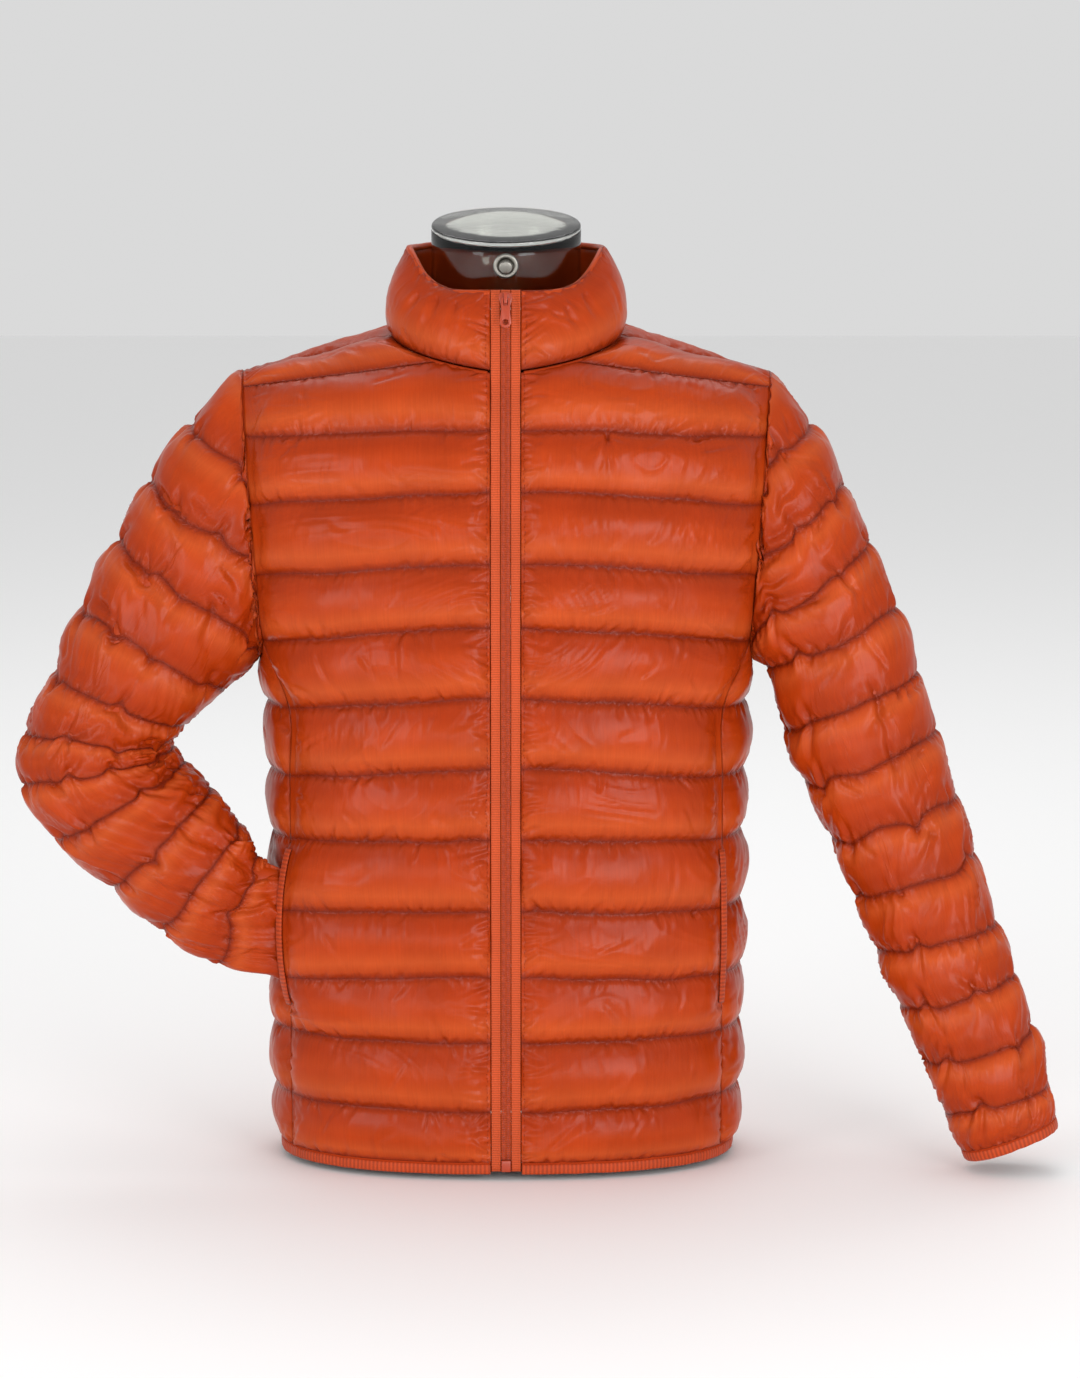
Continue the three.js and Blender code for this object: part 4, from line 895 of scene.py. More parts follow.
def spreadOf(rows):
    # distances along and up the cloth, in metres, from its middle column and its lower edge
    across = edgeDistances(rows)[0]
    across = across - across.mean(axis=1, keepdims=True)
    up = edgeDistances(rows.swapaxes(0, 1))[0].T
    return np.stack([across, up], axis=-1) * mm


# Creases, in millimetres, which move a fine grid along its own directions

creasing = {
    "gatherGap": 8.0,       # between the gathers along a sewn line
    "gatherLength": (5.0, 19.0),
    "gatherWidth": 1.7,
    "gatherDepth": 1.9,
    "zipGap": 5.2,          # the same for the gathers beside the zip
    "zipLength": (10.0, 36.0),
    "zipWidth": 1.5,
    "zipDepth": 1.9,
    "edgeGap": 12.0,        # and for those at other seams of a panel
    "edgeLength": (12.0, 38.0),
    "edgeDepth": 1.7,
    "slantGap": 46.0,       # long slanting creases over the middle of a channel
    "slantLength": (18.0, 60.0),
    "slantDepth": 1.3,
    "biteGap": 50.0,        # pinches where a sleeve's sewn line jumps
    "biteJump": 6.5,
    "biteDepth": 3.2,
    "crinkleDepth": 1.0,
    "lumpDepth": 2.0,       # clumps of filling
    "seamWander": 1.3,      # how far a sewn line strays up and down
    "seamWanderSleeve": 3.4,
}
mainFolds = [  # seen from the front: from x, z to x, z, then width and depth
    (77, 571, 74, 590, 1.7, 1.9), (77, 571, 88, 588, 1.6, 1.5), (77, 571, 64, 584, 1.6, 1.2),
    (77, 571, 70, 540, 2.0, 2.0), (77, 571, 80, 528, 2.2, 2.2), (77, 571, 92, 545, 1.8, 1.4),
    (77, 571, 56, 556, 1.7, 1.2), (77, 571, 98, 566, 1.6, 1.1),
    (120, 574, 170, 598, 2.8, 2.2), (141, 568, 194, 583, 2.8, 2.2), (150, 560, 196, 566, 2.2, 1.4),
    (102, 633, 130, 620, 2.4, 1.8), (101, 626, 127, 603, 2.4, 1.8), (96, 640, 122, 632, 2.0, 1.2),
    (194, 498, 168, 468, 2.8, 2.0), (192, 480, 172, 452, 2.4, 1.6), (190, 455, 160, 440, 2.4, 1.4),
    (196, 432, 240, 458, 3.4, 3.2), (198, 445, 228, 480, 3.0, 2.6), (200, 489, 242, 524, 3.4, 2.6),
    (206, 512, 234, 543, 3.0, 2.0), (197, 462, 215, 500, 2.6, 1.8), (228, 440, 262, 452, 3.0, 2.4),
    (244, 507, 236, 480, 3.0, 2.6), (288, 352, 280, 382, 3.2, 3.0), (288, 352, 300, 330, 2.6, 2.0),
    (322, 375, 300, 368, 3.0, 2.2), (322, 325, 303, 310, 3.0, 2.4), (330, 262, 312, 280, 2.8, 2.0),
    (-266, 528, -226, 470, 4.2, 3.6), (-290, 474, -244, 420, 4.2, 3.8), (-314, 440, -277, 380, 4.0, 3.4),
    (-308, 360, -258, 326, 4.0, 3.2), (-215, 471, -193, 434, 3.2, 2.6), (-222, 450, -196, 424, 2.8, 2.2),
    (-236, 520, -216, 486, 3.0, 2.2), (-196, 520, -180, 490, 2.4, 1.6), (-192, 470, -168, 450, 2.4, 1.6),
    (-262, 322, -300, 300, 3.8, 3.4), (-262, 330, -318, 338, 3.6, 3.0), (-258, 318, -282, 272, 3.6, 3.0),
    (-240, 300, -262, 262, 3.2, 2.6), (-214, 292, -232, 250, 3.0, 2.2), (-340, 330, -306, 352, 3.4, 2.4),
    (-352, 300, -318, 282, 3.4, 2.6),
    (-38, 672, -46, 650, 2.4, 2.0), (-52, 674, -66, 640, 3.0, 2.4), (-66, 676, -84, 652, 2.6, 2.0),
    (-30, 668, -34, 640, 2.0, 1.4), (46, 668, 62, 644, 2.4, 1.8), (60, 678, 78, 650, 2.8, 2.2),
    (36, 664, 70, 652, 2.2, 1.4), (20, 640, 44, 626, 2.0, 1.4), (-18, 645, -50, 625, 2.2, 1.3),
]


def clothNoise(x, y, seed):
    # smooth noise from -1 to 1 that turns over about one unit
    size = 128
    table = np.random.default_rng(seed).uniform(-1.0, 1.0, (size, size))
    cellX, cellY = np.floor(x).astype(int), np.floor(y).astype(int)
    blendX, blendY = smooth(x - cellX), smooth(y - cellY)
    left, right = cellX % size, (cellX + 1) % size
    low, high = cellY % size, (cellY + 1) % size
    lower = mix(table[left, low], table[right, low], blendX)
    upper = mix(table[left, high], table[right, high], blendX)
    return mix(lower, upper, blendY)


def ridges(x, y, seed):
    # narrow ridges with wide valleys between, about zero
    return (1.0 - np.abs(clothNoise(x, y, seed))) ** 3 - 0.3


def addFold(relief, p, q, start, turn, length, width, depth, bend=0.0):
    # a soft valley with a raised lip on one side. turn is its direction, in radians from p towards q.
    alongP, alongQ = math.cos(turn), math.sin(turn)
    t = ((p - start[0]) * alongP + (q - start[1]) * alongQ) / length
    size = width * (0.75 + 0.7 * np.clip(t, 0.0, 1.0))
    s = (p - start[0]) * alongQ - (q - start[1]) * alongP + bend * length * t * t
    fade = smooth((t + 0.08) / 0.16) * (1.0 - smooth(t))
    lip = 0.5 * np.exp(-((s - 1.9 * size) / (1.3 * size)) ** 2)
    relief += depth * fade * (lip - np.exp(-((s / size) ** 2)))


def seamFolds(patch, relief, along, low, high, edgeLeft, edgeRight, steps, seed):
    # gathers out of every sewn line and edge of a patch, and slanting creases between them
    size = creasing
    draw = np.random.default_rng(seed)
    for channel in range((len(along) - 1) // steps):
        rows = slice(channel * steps, (channel + 1) * steps)
        middle = along[channel * steps + steps // 2]
        width = float(low[rows].max())

        def window(position, reach):
            return slice(*np.searchsorted(middle, [position - reach, position + reach]))

        for away in (low, high):
            position = middle[0] + draw.uniform(2.0, 9.0)
            while position < middle[-1] - 2.0:
                crowd = smooth(0.5 + 1.1 * float(clothNoise(position / 37.0, channel * 5.1, seed + 9)))
                length = draw.uniform(*size["gatherLength"]) * (0.6 + 0.6 * crowd)
                columns = window(position, length + 10.0)
                addFold(relief[rows, columns], along[rows, columns], away[rows, columns], (position, 0.0),
                        math.pi / 2 + draw.normal() * 0.5, length,
                        size["gatherWidth"] * draw.uniform(0.8, 1.4),
                        size["gatherDepth"] * draw.uniform(0.3, 1.0) * (0.35 + 0.8 * crowd),
                        draw.normal() * 0.15)
                position += size["gatherGap"] * draw.uniform(0.5, 1.7)
        for edge, distance in (("left", edgeLeft), ("right", edgeRight)):
            kind = "zip" if edge in patch["zipEdges"] else "edge"
            position = draw.uniform(1.0, 4.0)
            while position < width - 1.0:
                share = position / width
                length = draw.uniform(*size[kind + "Length"]) * (0.55 + 0.7 * draw.random())
                columns = window(middle[0] if edge == "left" else middle[-1], length + 14.0)
                addFold(relief[rows, columns], distance[rows, columns], low[rows, columns], (0.0, position),
                        mix(0.75, -0.4, share) + draw.normal() * 0.16, length,
                        size["zipWidth"] * draw.uniform(0.8, 1.4),
                        size[kind + "Depth"] * draw.uniform(0.45, 1.0), draw.normal() * 0.12)
                position += size[kind + "Gap"] * draw.uniform(0.55, 1.5)
        position = middle[0] + draw.uniform(5.0, size["slantGap"])
        while position < middle[-1]:
            length = draw.uniform(*size["slantLength"])
            columns = window(position, length + 16.0)
            turn = draw.choice((-1.0, 1.0)) * draw.uniform(0.35, 1.35)
            addFold(relief[rows, columns], along[rows, columns], low[rows, columns],
                    (position, width * draw.uniform(0.1, 0.75)), turn, length, draw.uniform(1.8, 4.0),
                    size["slantDepth"] * draw.uniform(0.35, 1.0), draw.normal() * 0.15)
            position += size["slantGap"] * draw.uniform(0.4, 1.5)


def seamStray(patch, relief, along, low, high, steps, seed):
    # how far each point is carried up or down with its sewn lines. a sleeve's lines jump here and there, with
    # a pinch at each jump.
    sleeve = "sleeve" in patch["name"]
    draw = np.random.default_rng(seed + 77)
    wander = creasing["seamWanderSleeve"] if sleeve else creasing["seamWander"]
    last = (len(along) - 1) // steps
    shift = np.zeros(along.shape)
    for seam in range(1, last):
        below, above = slice((seam - 1) * steps, seam * steps), slice(seam * steps, (seam + 1) * steps)
        if seam == last - 1:
            above = slice(seam * steps, len(along))
        bites = []
        if sleeve:
            position = along[seam * steps, 0] + draw.uniform(10.0, creasing["biteGap"])
            while position < along[seam * steps, -1] - 10.0:
                bites.append((position, draw.uniform(-1.0, 1.0) * creasing["biteJump"]))
                position += creasing["biteGap"] * draw.uniform(0.5, 1.4)
        run = 24.0 if sleeve else 34.0
        for rows, away in ((below, high), (above, low)):
            width = (low + high)[rows]
            stray = wander * clothNoise(along[rows] / run, np.full(width.shape, seam * 4.3), seed + 31)
            for position, jump in bites:
                stray = stray + jump * np.exp(-(((along[rows] - position) / 5.5) ** 2))
            shift[rows] += stray * smooth(1.0 - away[rows] / width)
            for position, jump in bites:
                addFold(relief[rows], along[rows], away[rows], (position, 1.0),
                        math.pi / 2 + draw.normal() * 0.35, draw.uniform(16.0, 34.0), draw.uniform(2.4, 3.8),
                        creasing["biteDepth"] * draw.uniform(0.5, 1.0), draw.normal() * 0.2)
    return shift


def mainCreases(relief, outer, normals):
    # the main folds on the front and the same, mirrored, at the back, each where the cloth faces that way
    for facing, flip in ((-1.0, 1.0), (1.0, -1.0)):
        shown = smooth(normals[..., 1] * facing / 0.35)
        if shown.max() <= 0.0:
            continue
        x, z = outer[..., 0] * flip, outer[..., 2]
        for x0, z0, x1, z1, width, depth in mainFolds:
            reach = math.hypot(x1 - x0, z1 - z0)
            near = (np.abs(x - x0) < reach + 15.0) & (np.abs(z - z0) < reach + 15.0) & (shown > 0)
            if near.any():
                fold = np.zeros(int(near.sum()))
                addFold(fold, x[near], z[near], (x0, z0), math.atan2(z1 - z0, x1 - x0), reach, width, depth)
                relief[near] += fold * shown[near]


def creased(patch, outer):
    # outer is the fine grid of a patch's outside. it comes back creased, with each point's place in its
    # channel, from 0 at the lower sewn line to 1 at the upper one.
    size = creasing
    seed = sum(map(ord, patch["name"])) * 7
    rowCount, columnCount = outer.shape[:2]
    steps = patch["steps"] * patch["fine"][0]
    sewnFine = finer(patch["sewn"], patch["fine"])
    along, up = np.moveaxis(spreadOf(sewnFine), -1, 0) / mm
    edgeLeft = along - along[:, :1]
    edgeRight = along[:, -1:] - along
    fineRow = np.linspace(0, len(patch["rows"]) - 1, rowCount)
    coarseRow = np.arange(len(patch["rows"]))
    flatLeft = np.interp(fineRow, coarseRow, patch["flatLeft"][:, 0])[:, None]
    flatRight = np.interp(fineRow, coarseRow, patch["flatRight"][:, 0])[:, None]
    row = np.arange(rowCount)[:, None] * np.ones(columnCount)[None, :]
    channel = np.minimum(row // steps, (rowCount - 1) // steps - 1)
    place = (row - channel * steps) / steps
    width = channelWidths(sewnFine, steps)
    low, high = place * width, (1.0 - place) * width
    relief = np.zeros((rowCount, columnCount))
    seamFolds(patch, relief, along, low, high, edgeLeft, edgeRight, steps, seed)
    normals = gridNormals(outer)
    shift = seamStray(patch, relief, along, low, high, steps, seed)
    mainCreases(relief, outer, normals)
    turn = 0.5 + 0.8 * clothNoise(along / 90.0, up / 60.0, seed + 21)
    acrossCrease = along * np.cos(turn) + up * np.sin(turn)
    alongCrease = up * np.cos(turn) - along * np.sin(turn)
    middle = 4.0 * place * (1.0 - place)
    patchy = smooth(0.5 + clothNoise(along / 48.0, up / 40.0, seed + 25))
    crinkles = ridges(acrossCrease / 13.0, alongCrease / 46.0, seed + 23)
    relief += size["crinkleDepth"] * middle * patchy * crinkles
    relief += size["lumpDepth"] * middle * clothNoise(along / 36.0, up / 31.0, seed + 27)
    inside = np.minimum(edgeLeft - flatLeft, edgeRight - flatRight)
    keep = smooth(np.minimum(low, high) / 1.8) * smooth(inside / 1.8)
    shift = shift * smooth(np.minimum(edgeLeft, edgeRight) / 14.0)
    upward = unit(np.gradient(sewnFine, axis=0))
    depth = relief * keep * patch.get("creases", 1.0)
    return outer + normals * depth[..., None] + upward * shift[..., None], place


def shellOf(patch):
    outer, place = creased(patch, finer(patch["outer"], patch["fine"]))
    inner = patch["rows"] - patch["normals"] * jacket["clothHalf"]
    stepUp = 3 if (len(inner) - 1) % 3 == 0 else 1
    inner = inner[::stepUp]
    stepAcross = next(k for k in (4, 3, 2, 1) if (inner.shape[1] - 1) % k == 0)
    inner = inner[:, ::stepAcross]
    patch["final"] = outer
    return outer, inner, spreadOf(outer), place


def armholeNormals(rows, normals, column, side, behind, place):
    # walls stand out at the armhole the same way on both sides of its seam
    above = place >= jacket["armpitLine"]
    angle = armholeAngle(rows[:, column, 2]) * (-1.0 if behind else 1.0)
    out = armholeSeam(side, angle)[1]
    normals[above, column] = out[above]
    return normals


def makePatches():
    steps = grid["rowSteps"]
    place, _ = rowHeights(steps, 0, jacket["yokeLine"])
    yokePlace, _ = rowHeights(steps, jacket["yokeLine"], shoulderLine)
    patches = {}
    for side, word in ((-1, "right"), (1, "left")):
        outerColumn = -1 if side > 0 else 0
        rows = frontRows(side)
        normals = armholeNormals(rows, gridNormals(rows), outerColumn, side, False, place)
        mouth = 9.0 * (pocketOpen(np.interp(place, np.arange(len(quiltLines)), quiltLines[:, 1])) > 0)
        flats = {"flatRight" if side > 0 else "flatLeft": mouth}
        patches["front_" + word] = [quiltedPatch("front_" + word, rows, steps, normals=normals, **flats)]
        patches["front_" + word][0]["zipEdges"] = ("left",) if side > 0 else ("right",)
        rows = yokeRows(side, False)
        normals = armholeNormals(rows, gridNormals(rows), outerColumn, side, False, yokePlace)
        patches["front_" + word].append(quiltedPatch("yoke_" + word, rows, steps, 0.8, normals))
        rows = sideRows(side)
        patches["side_" + word] = [quiltedPatch("side_" + word, rows, steps, 0.85)]
        rows, at, angle = sleeveSheet(side)
        start = capStart(angle)
        normals = gridNormals(rows)
        seamOut = armholeSeam(side, angle)[1]
        blend = smooth((at - start - 0.1) / 0.4)[..., None]
        normals = unit(seamOut * (1 - blend) + normals * blend)
        underArm = np.maximum(0.0, -np.cos(angle)) * (1 - smooth((at - sleeves["capLines"]) / 2.5))
        fullness = 0.62 * (1 - 0.8 * underArm)
        if side < 0:
            fullness = fullness * (1 - smooth((at - 10.2) / 1.2))
        sheet = quiltedPatch("sleeve_" + word, rows, steps, fullness, normals, at <= start + 0.06)
        patches["sleeve_" + word] = [{**sheet, "creases": 1.45}]
    rows = backRows()
    normals = gridNormals(rows)
    normals = armholeNormals(rows, normals, 0, 1, True, place)
    normals = armholeNormals(rows, normals, -1, -1, True, place)
    patches["back"] = [quiltedPatch("back", rows, steps, normals=normals)]
    for side in (1, -1):
        rows = yokeRows(side, True)
        normals = armholeNormals(rows, gridNormals(rows), 0 if side > 0 else -1, side, True, yokePlace)
        patches["back"].append(quiltedPatch("backYoke", rows, steps, 0.8, normals))
    rows = collarRows()
    patches["collar"] = [quiltedPatch("collar", rows, len(rows) - 1, 1.0)]
    patches["collar"][0]["zipEdges"] = ("left", "right")
    return patches


def makeQuiltedPieces():
    everyPatch = [patch for group in patches.values() for patch in group]
    print("simulating", len(everyPatch), "patches,", sum(p["pinned"].size for p in everyPatch), "points")
    simulate(everyPatch)
    pieces = {}
    for name, group in patches.items():
        shells = [shellOf(patch) for patch in group]
        piece = wallMesh("quilted" + name.title().replace("_", ""), shells, shellCloth)
        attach(piece, "jacket")
        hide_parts(name)
        pieces[name] = piece
    return pieces


patches = makePatches()
quiltedPieces = makeQuiltedPieces()
print("quilted pieces are made")

# Trim: bindings and tapes swept along an edge

trimLook = {"colour": (0.42, 0.046, 0.006), "roughness": 0.62, "ribs": 620.0, "ribDepth": 0.0003}
tapeLook = {"colour": (0.50, 0.064, 0.011), "roughness": 0.58, "ribs": 1100.0, "ribDepth": 0.0003}


def makeRibbedCloth(name, look):
    # ribs across a strip whose cloth coordinates run along it
    material = newMaterial(name, look["colour"], look["roughness"], Sheen_Weight=0.06,
                           Specular_IOR_Level=0.25)
    tree = material.node_tree
    cloth = addNode(tree, "ShaderNodeUVMap", uv_map="cloth").outputs["UV"]
    surface = addNode(tree, "ShaderNodeGroup", {"Cloth": cloth}, node_tree=clothSurface).outputs
    waves = addNode(tree, "ShaderNodeTexWave", wave_type="BANDS", bands_direction="X")
    feed(tree, waves, {"Vector": cloth, "Scale": look["ribs"] / 20.0 * np.pi, "Distortion": 0.6})
    ribs = waves.outputs["Fac"]
    # the ribs' colour is painted shade: darker in the grooves between the ribs and lighter on their crests,
    # in step with the rib bumps
    colour = toned(tree, (*look["colour"], 1.0), ribs, 0.72, 1.15)
    colour = toned(tree, colour, surface["Mottle"], 0.8, 1.2)
    normal = bumped(tree, ribs, 0.7, look["ribDepth"])
    feed(tree, tree.nodes["Principled BSDF"], {"Base Color": colour, "Normal": normal})
    return material


trimCloth = makeRibbedCloth("trimCloth", trimLook)
tapeCloth = makeRibbedCloth("tapeCloth", tapeLook)


def solidMesh(name, vertices, faces, material, spread=None):
    # a closed mesh from points in millimetres, turned outwards
    mesh = bpy.data.meshes.new(name)
    mesh.from_pydata((np.reshape(vertices, (-1, 3)) * mm).tolist(), [], faces)
    if spread is not None:
        writeSpread(mesh, spread)
    work = bmesh.new()
    work.from_mesh(mesh)
    bmesh.ops.recalc_face_normals(work, faces=work.faces)
    work.to_mesh(mesh)
    work.free()
    mesh.polygons.foreach_set("use_smooth", [True] * len(mesh.polygons))
    mesh.materials.append(material)
    return newObject(name, mesh)


def tubeFaces(rings, sides, closed=False):
    # faces between rings of points, with both ends shut, or with the last ring joined to the first
    faces = []
    for i in range(rings if closed else rings - 1):
        a, b = i * sides, ((i + 1) % rings) * sides
        for k in range(sides):
            n = (k + 1) % sides
            faces.append((a + k, a + n, b + n, b + k))
    if not closed:
        faces.append(tuple(range(sides))[::-1])
        faces.append(tuple((rings - 1) * sides + k for k in range(sides)))
    return faces


def roundedProfile(halfWidth, halfDepth, sides=14, squareness=2.8):
    angle = np.linspace(0.0, 2 * np.pi, sides, endpoint=False)
    return ovalPoints(angle, halfWidth, halfDepth, squareness, 0.0)[:, :2]


def sweptStrip(name, middle, wide, deep, profile, material, closed=False):
    # a strip along a path. wide and deep are the directions of the profile's two columns.
    profile = np.asarray(profile, float)
    rings = middle[:, None] + wide[:, None] * profile[None, :, :1] + deep[:, None] * profile[None, :, 1:]
    run = np.concatenate([[0.0], np.cumsum(np.linalg.norm(np.diff(middle, axis=0), axis=1))]) * mm
    spread = np.stack(np.broadcast_arrays(run[:, None], profile[None, :, 0] * mm), axis=-1).reshape(-1, 2)
    return solidMesh(name, rings, tubeFaces(len(middle), len(profile), closed), material, spread)


def finish(piece, node, body="jacket"):
    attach(piece, body)
    if node:
        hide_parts(node)
    return piece


def makeSeamFill(name, path, radius, closed, material=None, waver=0.0):
    # a thin tuck of the shell's cloth along a seam
    steps = np.arange(len(path))
    path = path + points(*[waver * clothNoise(steps / 5.3, steps * 0.0, seed) for seed in (81, 82, 83)])
    tangent = unit(np.gradient(path, axis=0))
    middle = path.mean(axis=0)
    wide = unit(np.cross(tangent, path - middle))
    deep = unit(np.cross(tangent, wide))
    profile = roundedProfile(radius, radius, 8, 2.0)
    return finish(sweptStrip(name, path, wide, deep, profile, material or tuckCloth, closed), None)


tuckCloth = newMaterial("tuckCloth", (0.34, 0.032, 0.004), 0.8, Specular_IOR_Level=0.1)
rollCloth = newMaterial("rollCloth", (0.40, 0.043, 0.005), 0.36, Specular_IOR_Level=0.14)

bindings = {
    "height": 8.0,
    "thickness": 3.4,
    "gap": 1.4,
    "cuffGap": 1.0,
    "waver": 0.45,
    "hemCut": (1.07, 0.010),        # folded double as it lies, in metres
    "cuffCut": {"Left": (0.235, 0.010), "Right": (0.160, 0.010)},   # the right one is gathered in
    "pocketCut": (0.122, 0.010),
}


def makeHemBinding():
    z = quiltLines[0, 0] - bindings["gap"] - bindings["height"] / 2
    _, halfWidth, front, back = sectionAt(z)
    angle = np.linspace(-np.pi / 2, 1.5 * np.pi, 401)
    depth = np.where(np.sin(angle) < 0, -front, back)
    middle = ovalPoints(angle, halfWidth, depth, jacket["squareness"], z)
    opening = jacket["zipHalfWidth"] + jacket["seamGap"]
    beside = np.abs(middle[:, 0]) > opening
    middle = middle[beside | (middle[:, 1] >= 0)]
    steps = np.arange(len(middle))
    upright = np.array([[0.0, 0.0, 1.0]])
    waver = bindings["waver"] * clothNoise(steps / 3.1, steps * 0.0, 61)
    middle = middle + unit(np.cross(unit(np.gradient(middle, axis=0)), upright)) * waver[:, None]
    middle[:, 2] += 0.7 * waver
    ends = [[[np.sign(end[0]) * opening, end[1], end[2]]] for end in (middle[0], middle[-1])]
    middle = np.concatenate([ends[0], middle, ends[1]])
    wide = np.repeat(upright, len(middle), axis=0)
    deep = unit(np.cross(unit(np.gradient(middle, axis=0)), wide))
    profile = roundedProfile(bindings["height"] / 2, bindings["thickness"] / 2)
    makeSeamFill("hemTuck", middle + [0.0, 0.0, (bindings["height"] + bindings["gap"]) / 2], 1.3, False)
    strip = sweptStrip("hemBinding", middle, wide, deep, profile, trimCloth)
    return finish(strip, "hem_binding")


def makeCuffBinding(side, word):
    last = len(sleeves[side]) - 1.0
    angle = np.linspace(0.0, 2 * np.pi, 120, endpoint=False)
    end = sleeveRing(side, np.full(120, last), angle)
    before = sleeveRing(side, np.full(120, last - 0.5), angle)
    wide = unit(end - before)
    middle = end + wide * (bindings["cuffGap"] + bindings["height"] / 2)
    tangent = unit(np.roll(middle, -1, axis=0) - np.roll(middle, 1, axis=0))
    deep = unit(np.cross(wide, tangent))
    waver = bindings["waver"] * 0.7 * clothNoise(np.arange(120) / 2.4, np.zeros(120), 71)
    middle = middle + wide * waver[:, None]
    profile = roundedProfile(bindings["height"] / 2, bindings["thickness"] / 2 - 0.1)
    makeSeamFill("cuffTuck" + word, end + wide * bindings["cuffGap"] / 2, 1.2, True)
    piece = sweptStrip("cuffBinding" + word, middle, wide, deep, profile, trimCloth, closed=True)
    low = word.lower()
    return finish(piece, "cuff_binding_" + low)


def makePocketBinding(side, word, patch):
    edge = patch["rows"][:, -1 if side > 0 else 0]
    nextOne = patch["rows"][:, -2 if side > 0 else 1]
    normal = patch["normals"][:, -1 if side > 0 else 0]
    inside = (edge[:, 2] > pocket["bottomZ"] + 3.0) & (edge[:, 2] < pocket["topZ"] - 3.0)
    inward = unit(nextOne - edge)
    halfDepth = pocket["bindingThickness"] / 2
    middle = edge + normal * (jacket["clothHalf"] + 0.4 + halfDepth) + inward * pocket["bindingWidth"] / 2
    middle, inward, normal = middle[inside], inward[inside], normal[inside]
    profile = roundedProfile(pocket["bindingWidth"] / 2, halfDepth)
    piece = sweptStrip("pocketBinding" + word, middle, inward, normal, profile, trimCloth)
    low = word.lower()
    return finish(piece, "pocket_binding_" + low)


around = np.linspace(0.0, 2 * np.pi, 160, endpoint=False)
aroundNeck = np.linspace(0.16, 2 * np.pi - 0.16, 161)
neckSeam = collarRing(neckRing, aroundNeck) - np.array([0.0, 0.0, 0.6])
makeSeamFill("neckTuck", neckSeam, 1.9, False)
collarEdge = collarRing(collarTop, aroundNeck) - np.array([0.0, 0.0, 2.2])
makeSeamFill("collarRoll", collarEdge, 2.7, False, rollCloth, 0.5)
for side, word in ((1, "Left"), (-1, "Right")):
    makeSeamFill("armholeTuck" + word, armholeSeam(side, around)[0], 0.8, True)
makeHemBinding()
for side, word in ((1, "Left"), (-1, "Right")):
    makeCuffBinding(side, word)
    makePocketBinding(side, word, patches["front_" + word.lower()][0])
print("bindings are made")

# Zip: two tapes, a coil of teeth on a cord, a box at its foot, and the slider with its tab

zipper = {
    "bottomZ": 7.0,
    "topRise": 0.5,
    "tapeInner": 4.0,
    "tapeOuter": 11.25,
    "tapeHalf": 0.8,
    "tapeCut": (0.012, 0.680),
    "coreHalf": 3.5,
    "chainForward": 0.4,
    "toothPitch": 1.5,
    "toothLength": 3.0,
    "toothHalf": 0.55,
}


def zipPath(bottomZ, count):
    top = collarRing(collarTop, np.array(0.0)) + np.array([0.0, 0.0, zipper["topRise"]])
    z = np.linspace(bottomZ, top[2], count)
    neck = collarRing(neckRing, np.array(0.0))
    up = np.clip((z - neckRing["frontZ"]) / (top[2] - neckRing["frontZ"]), 0.0, 1.0)
    body = np.array([sectionAt(v)[2] for v in np.minimum(z, bodyTop)])
    return points(0.0, np.where(z <= neckRing["frontZ"], body, mix(neck[1], top[1], up)), z)


def makeTape(side, word):
    path = zipPath(zipper["bottomZ"], 180)
    wide = np.tile([float(side), 0.0, 0.0], (len(path), 1))
    deep = unit(np.cross(unit(np.gradient(path, axis=0)), np.array([-1.0, 0.0, 0.0])))
    deep = np.where(deep[:, 1:2] > 0, -deep, deep)
    inner, outer, half = zipper["tapeInner"], zipper["tapeOuter"], zipper["tapeHalf"]
    profile = [(inner, -half), (inner, 0.3 * half), (inner + 0.5, half), (inner + 1.3, half),
               (inner + 1.7, 0.55 * half), (outer - 1.5, 0.5 * half), (outer - 1.1, half),
               (outer - 0.4, half), (outer, 0.3 * half), (outer, -half)]
    low = word.lower()
    strip = sweptStrip("zipTape" + word, path, wide, deep, profile, tapeCloth)
    return finish(strip, "zip_tape_" + low)


def alongPathTree(name):
    # copies of one small piece, a pitch apart along every line of a mesh
    tree = bpy.data.node_groups.new(name, "GeometryNodeTree")
    for socket, kind in (("Geometry", "Geometry"), ("Pitch", "Float"), ("Piece", "Object"), ("Size", "Float"),
                         ("Finish", "Material")):
        tree.interface.new_socket(socket, in_out="INPUT", socket_type="NodeSocket" + kind)
    tree.interface.new_socket("Geometry", in_out="OUTPUT", socket_type="NodeSocketGeometry")
    given = addNode(tree, "NodeGroupInput").outputs
    curve = addNode(tree, "GeometryNodeMeshToCurve", {"Mesh": given["Geometry"]}).outputs["Curve"]
    even = addNode(tree, "GeometryNodeResampleCurve", mode="LENGTH")
    feed(tree, even, {"Curve": curve, "Length": given["Pitch"]})
    info = addNode(tree, "GeometryNodeObjectInfo", {"Object": given["Piece"]})
    tangent = addNode(tree, "GeometryNodeInputTangent").outputs["Tangent"]
    turn = addNode(tree, "FunctionNodeAlignRotationToVector", {"Vector": tangent}, axis="Z")
    copies = addNode(tree, "GeometryNodeInstanceOnPoints",
                     {"Points": even.outputs["Curve"], "Instance": info.outputs["Geometry"],
                      "Rotation": turn.outputs["Rotation"], "Scale": given["Size"]})
    real = addNode(tree, "GeometryNodeRealizeInstances", {"Geometry": copies.outputs["Instances"]})
    dressed = addNode(tree, "GeometryNodeSetMaterial",
                      {"Geometry": real.outputs["Geometry"], "Material": given["Finish"]})
    addNode(tree, "NodeGroupOutput", {"Geometry": dressed.outputs["Geometry"]})
    return tree


alongPath = alongPathTree("alongPath")


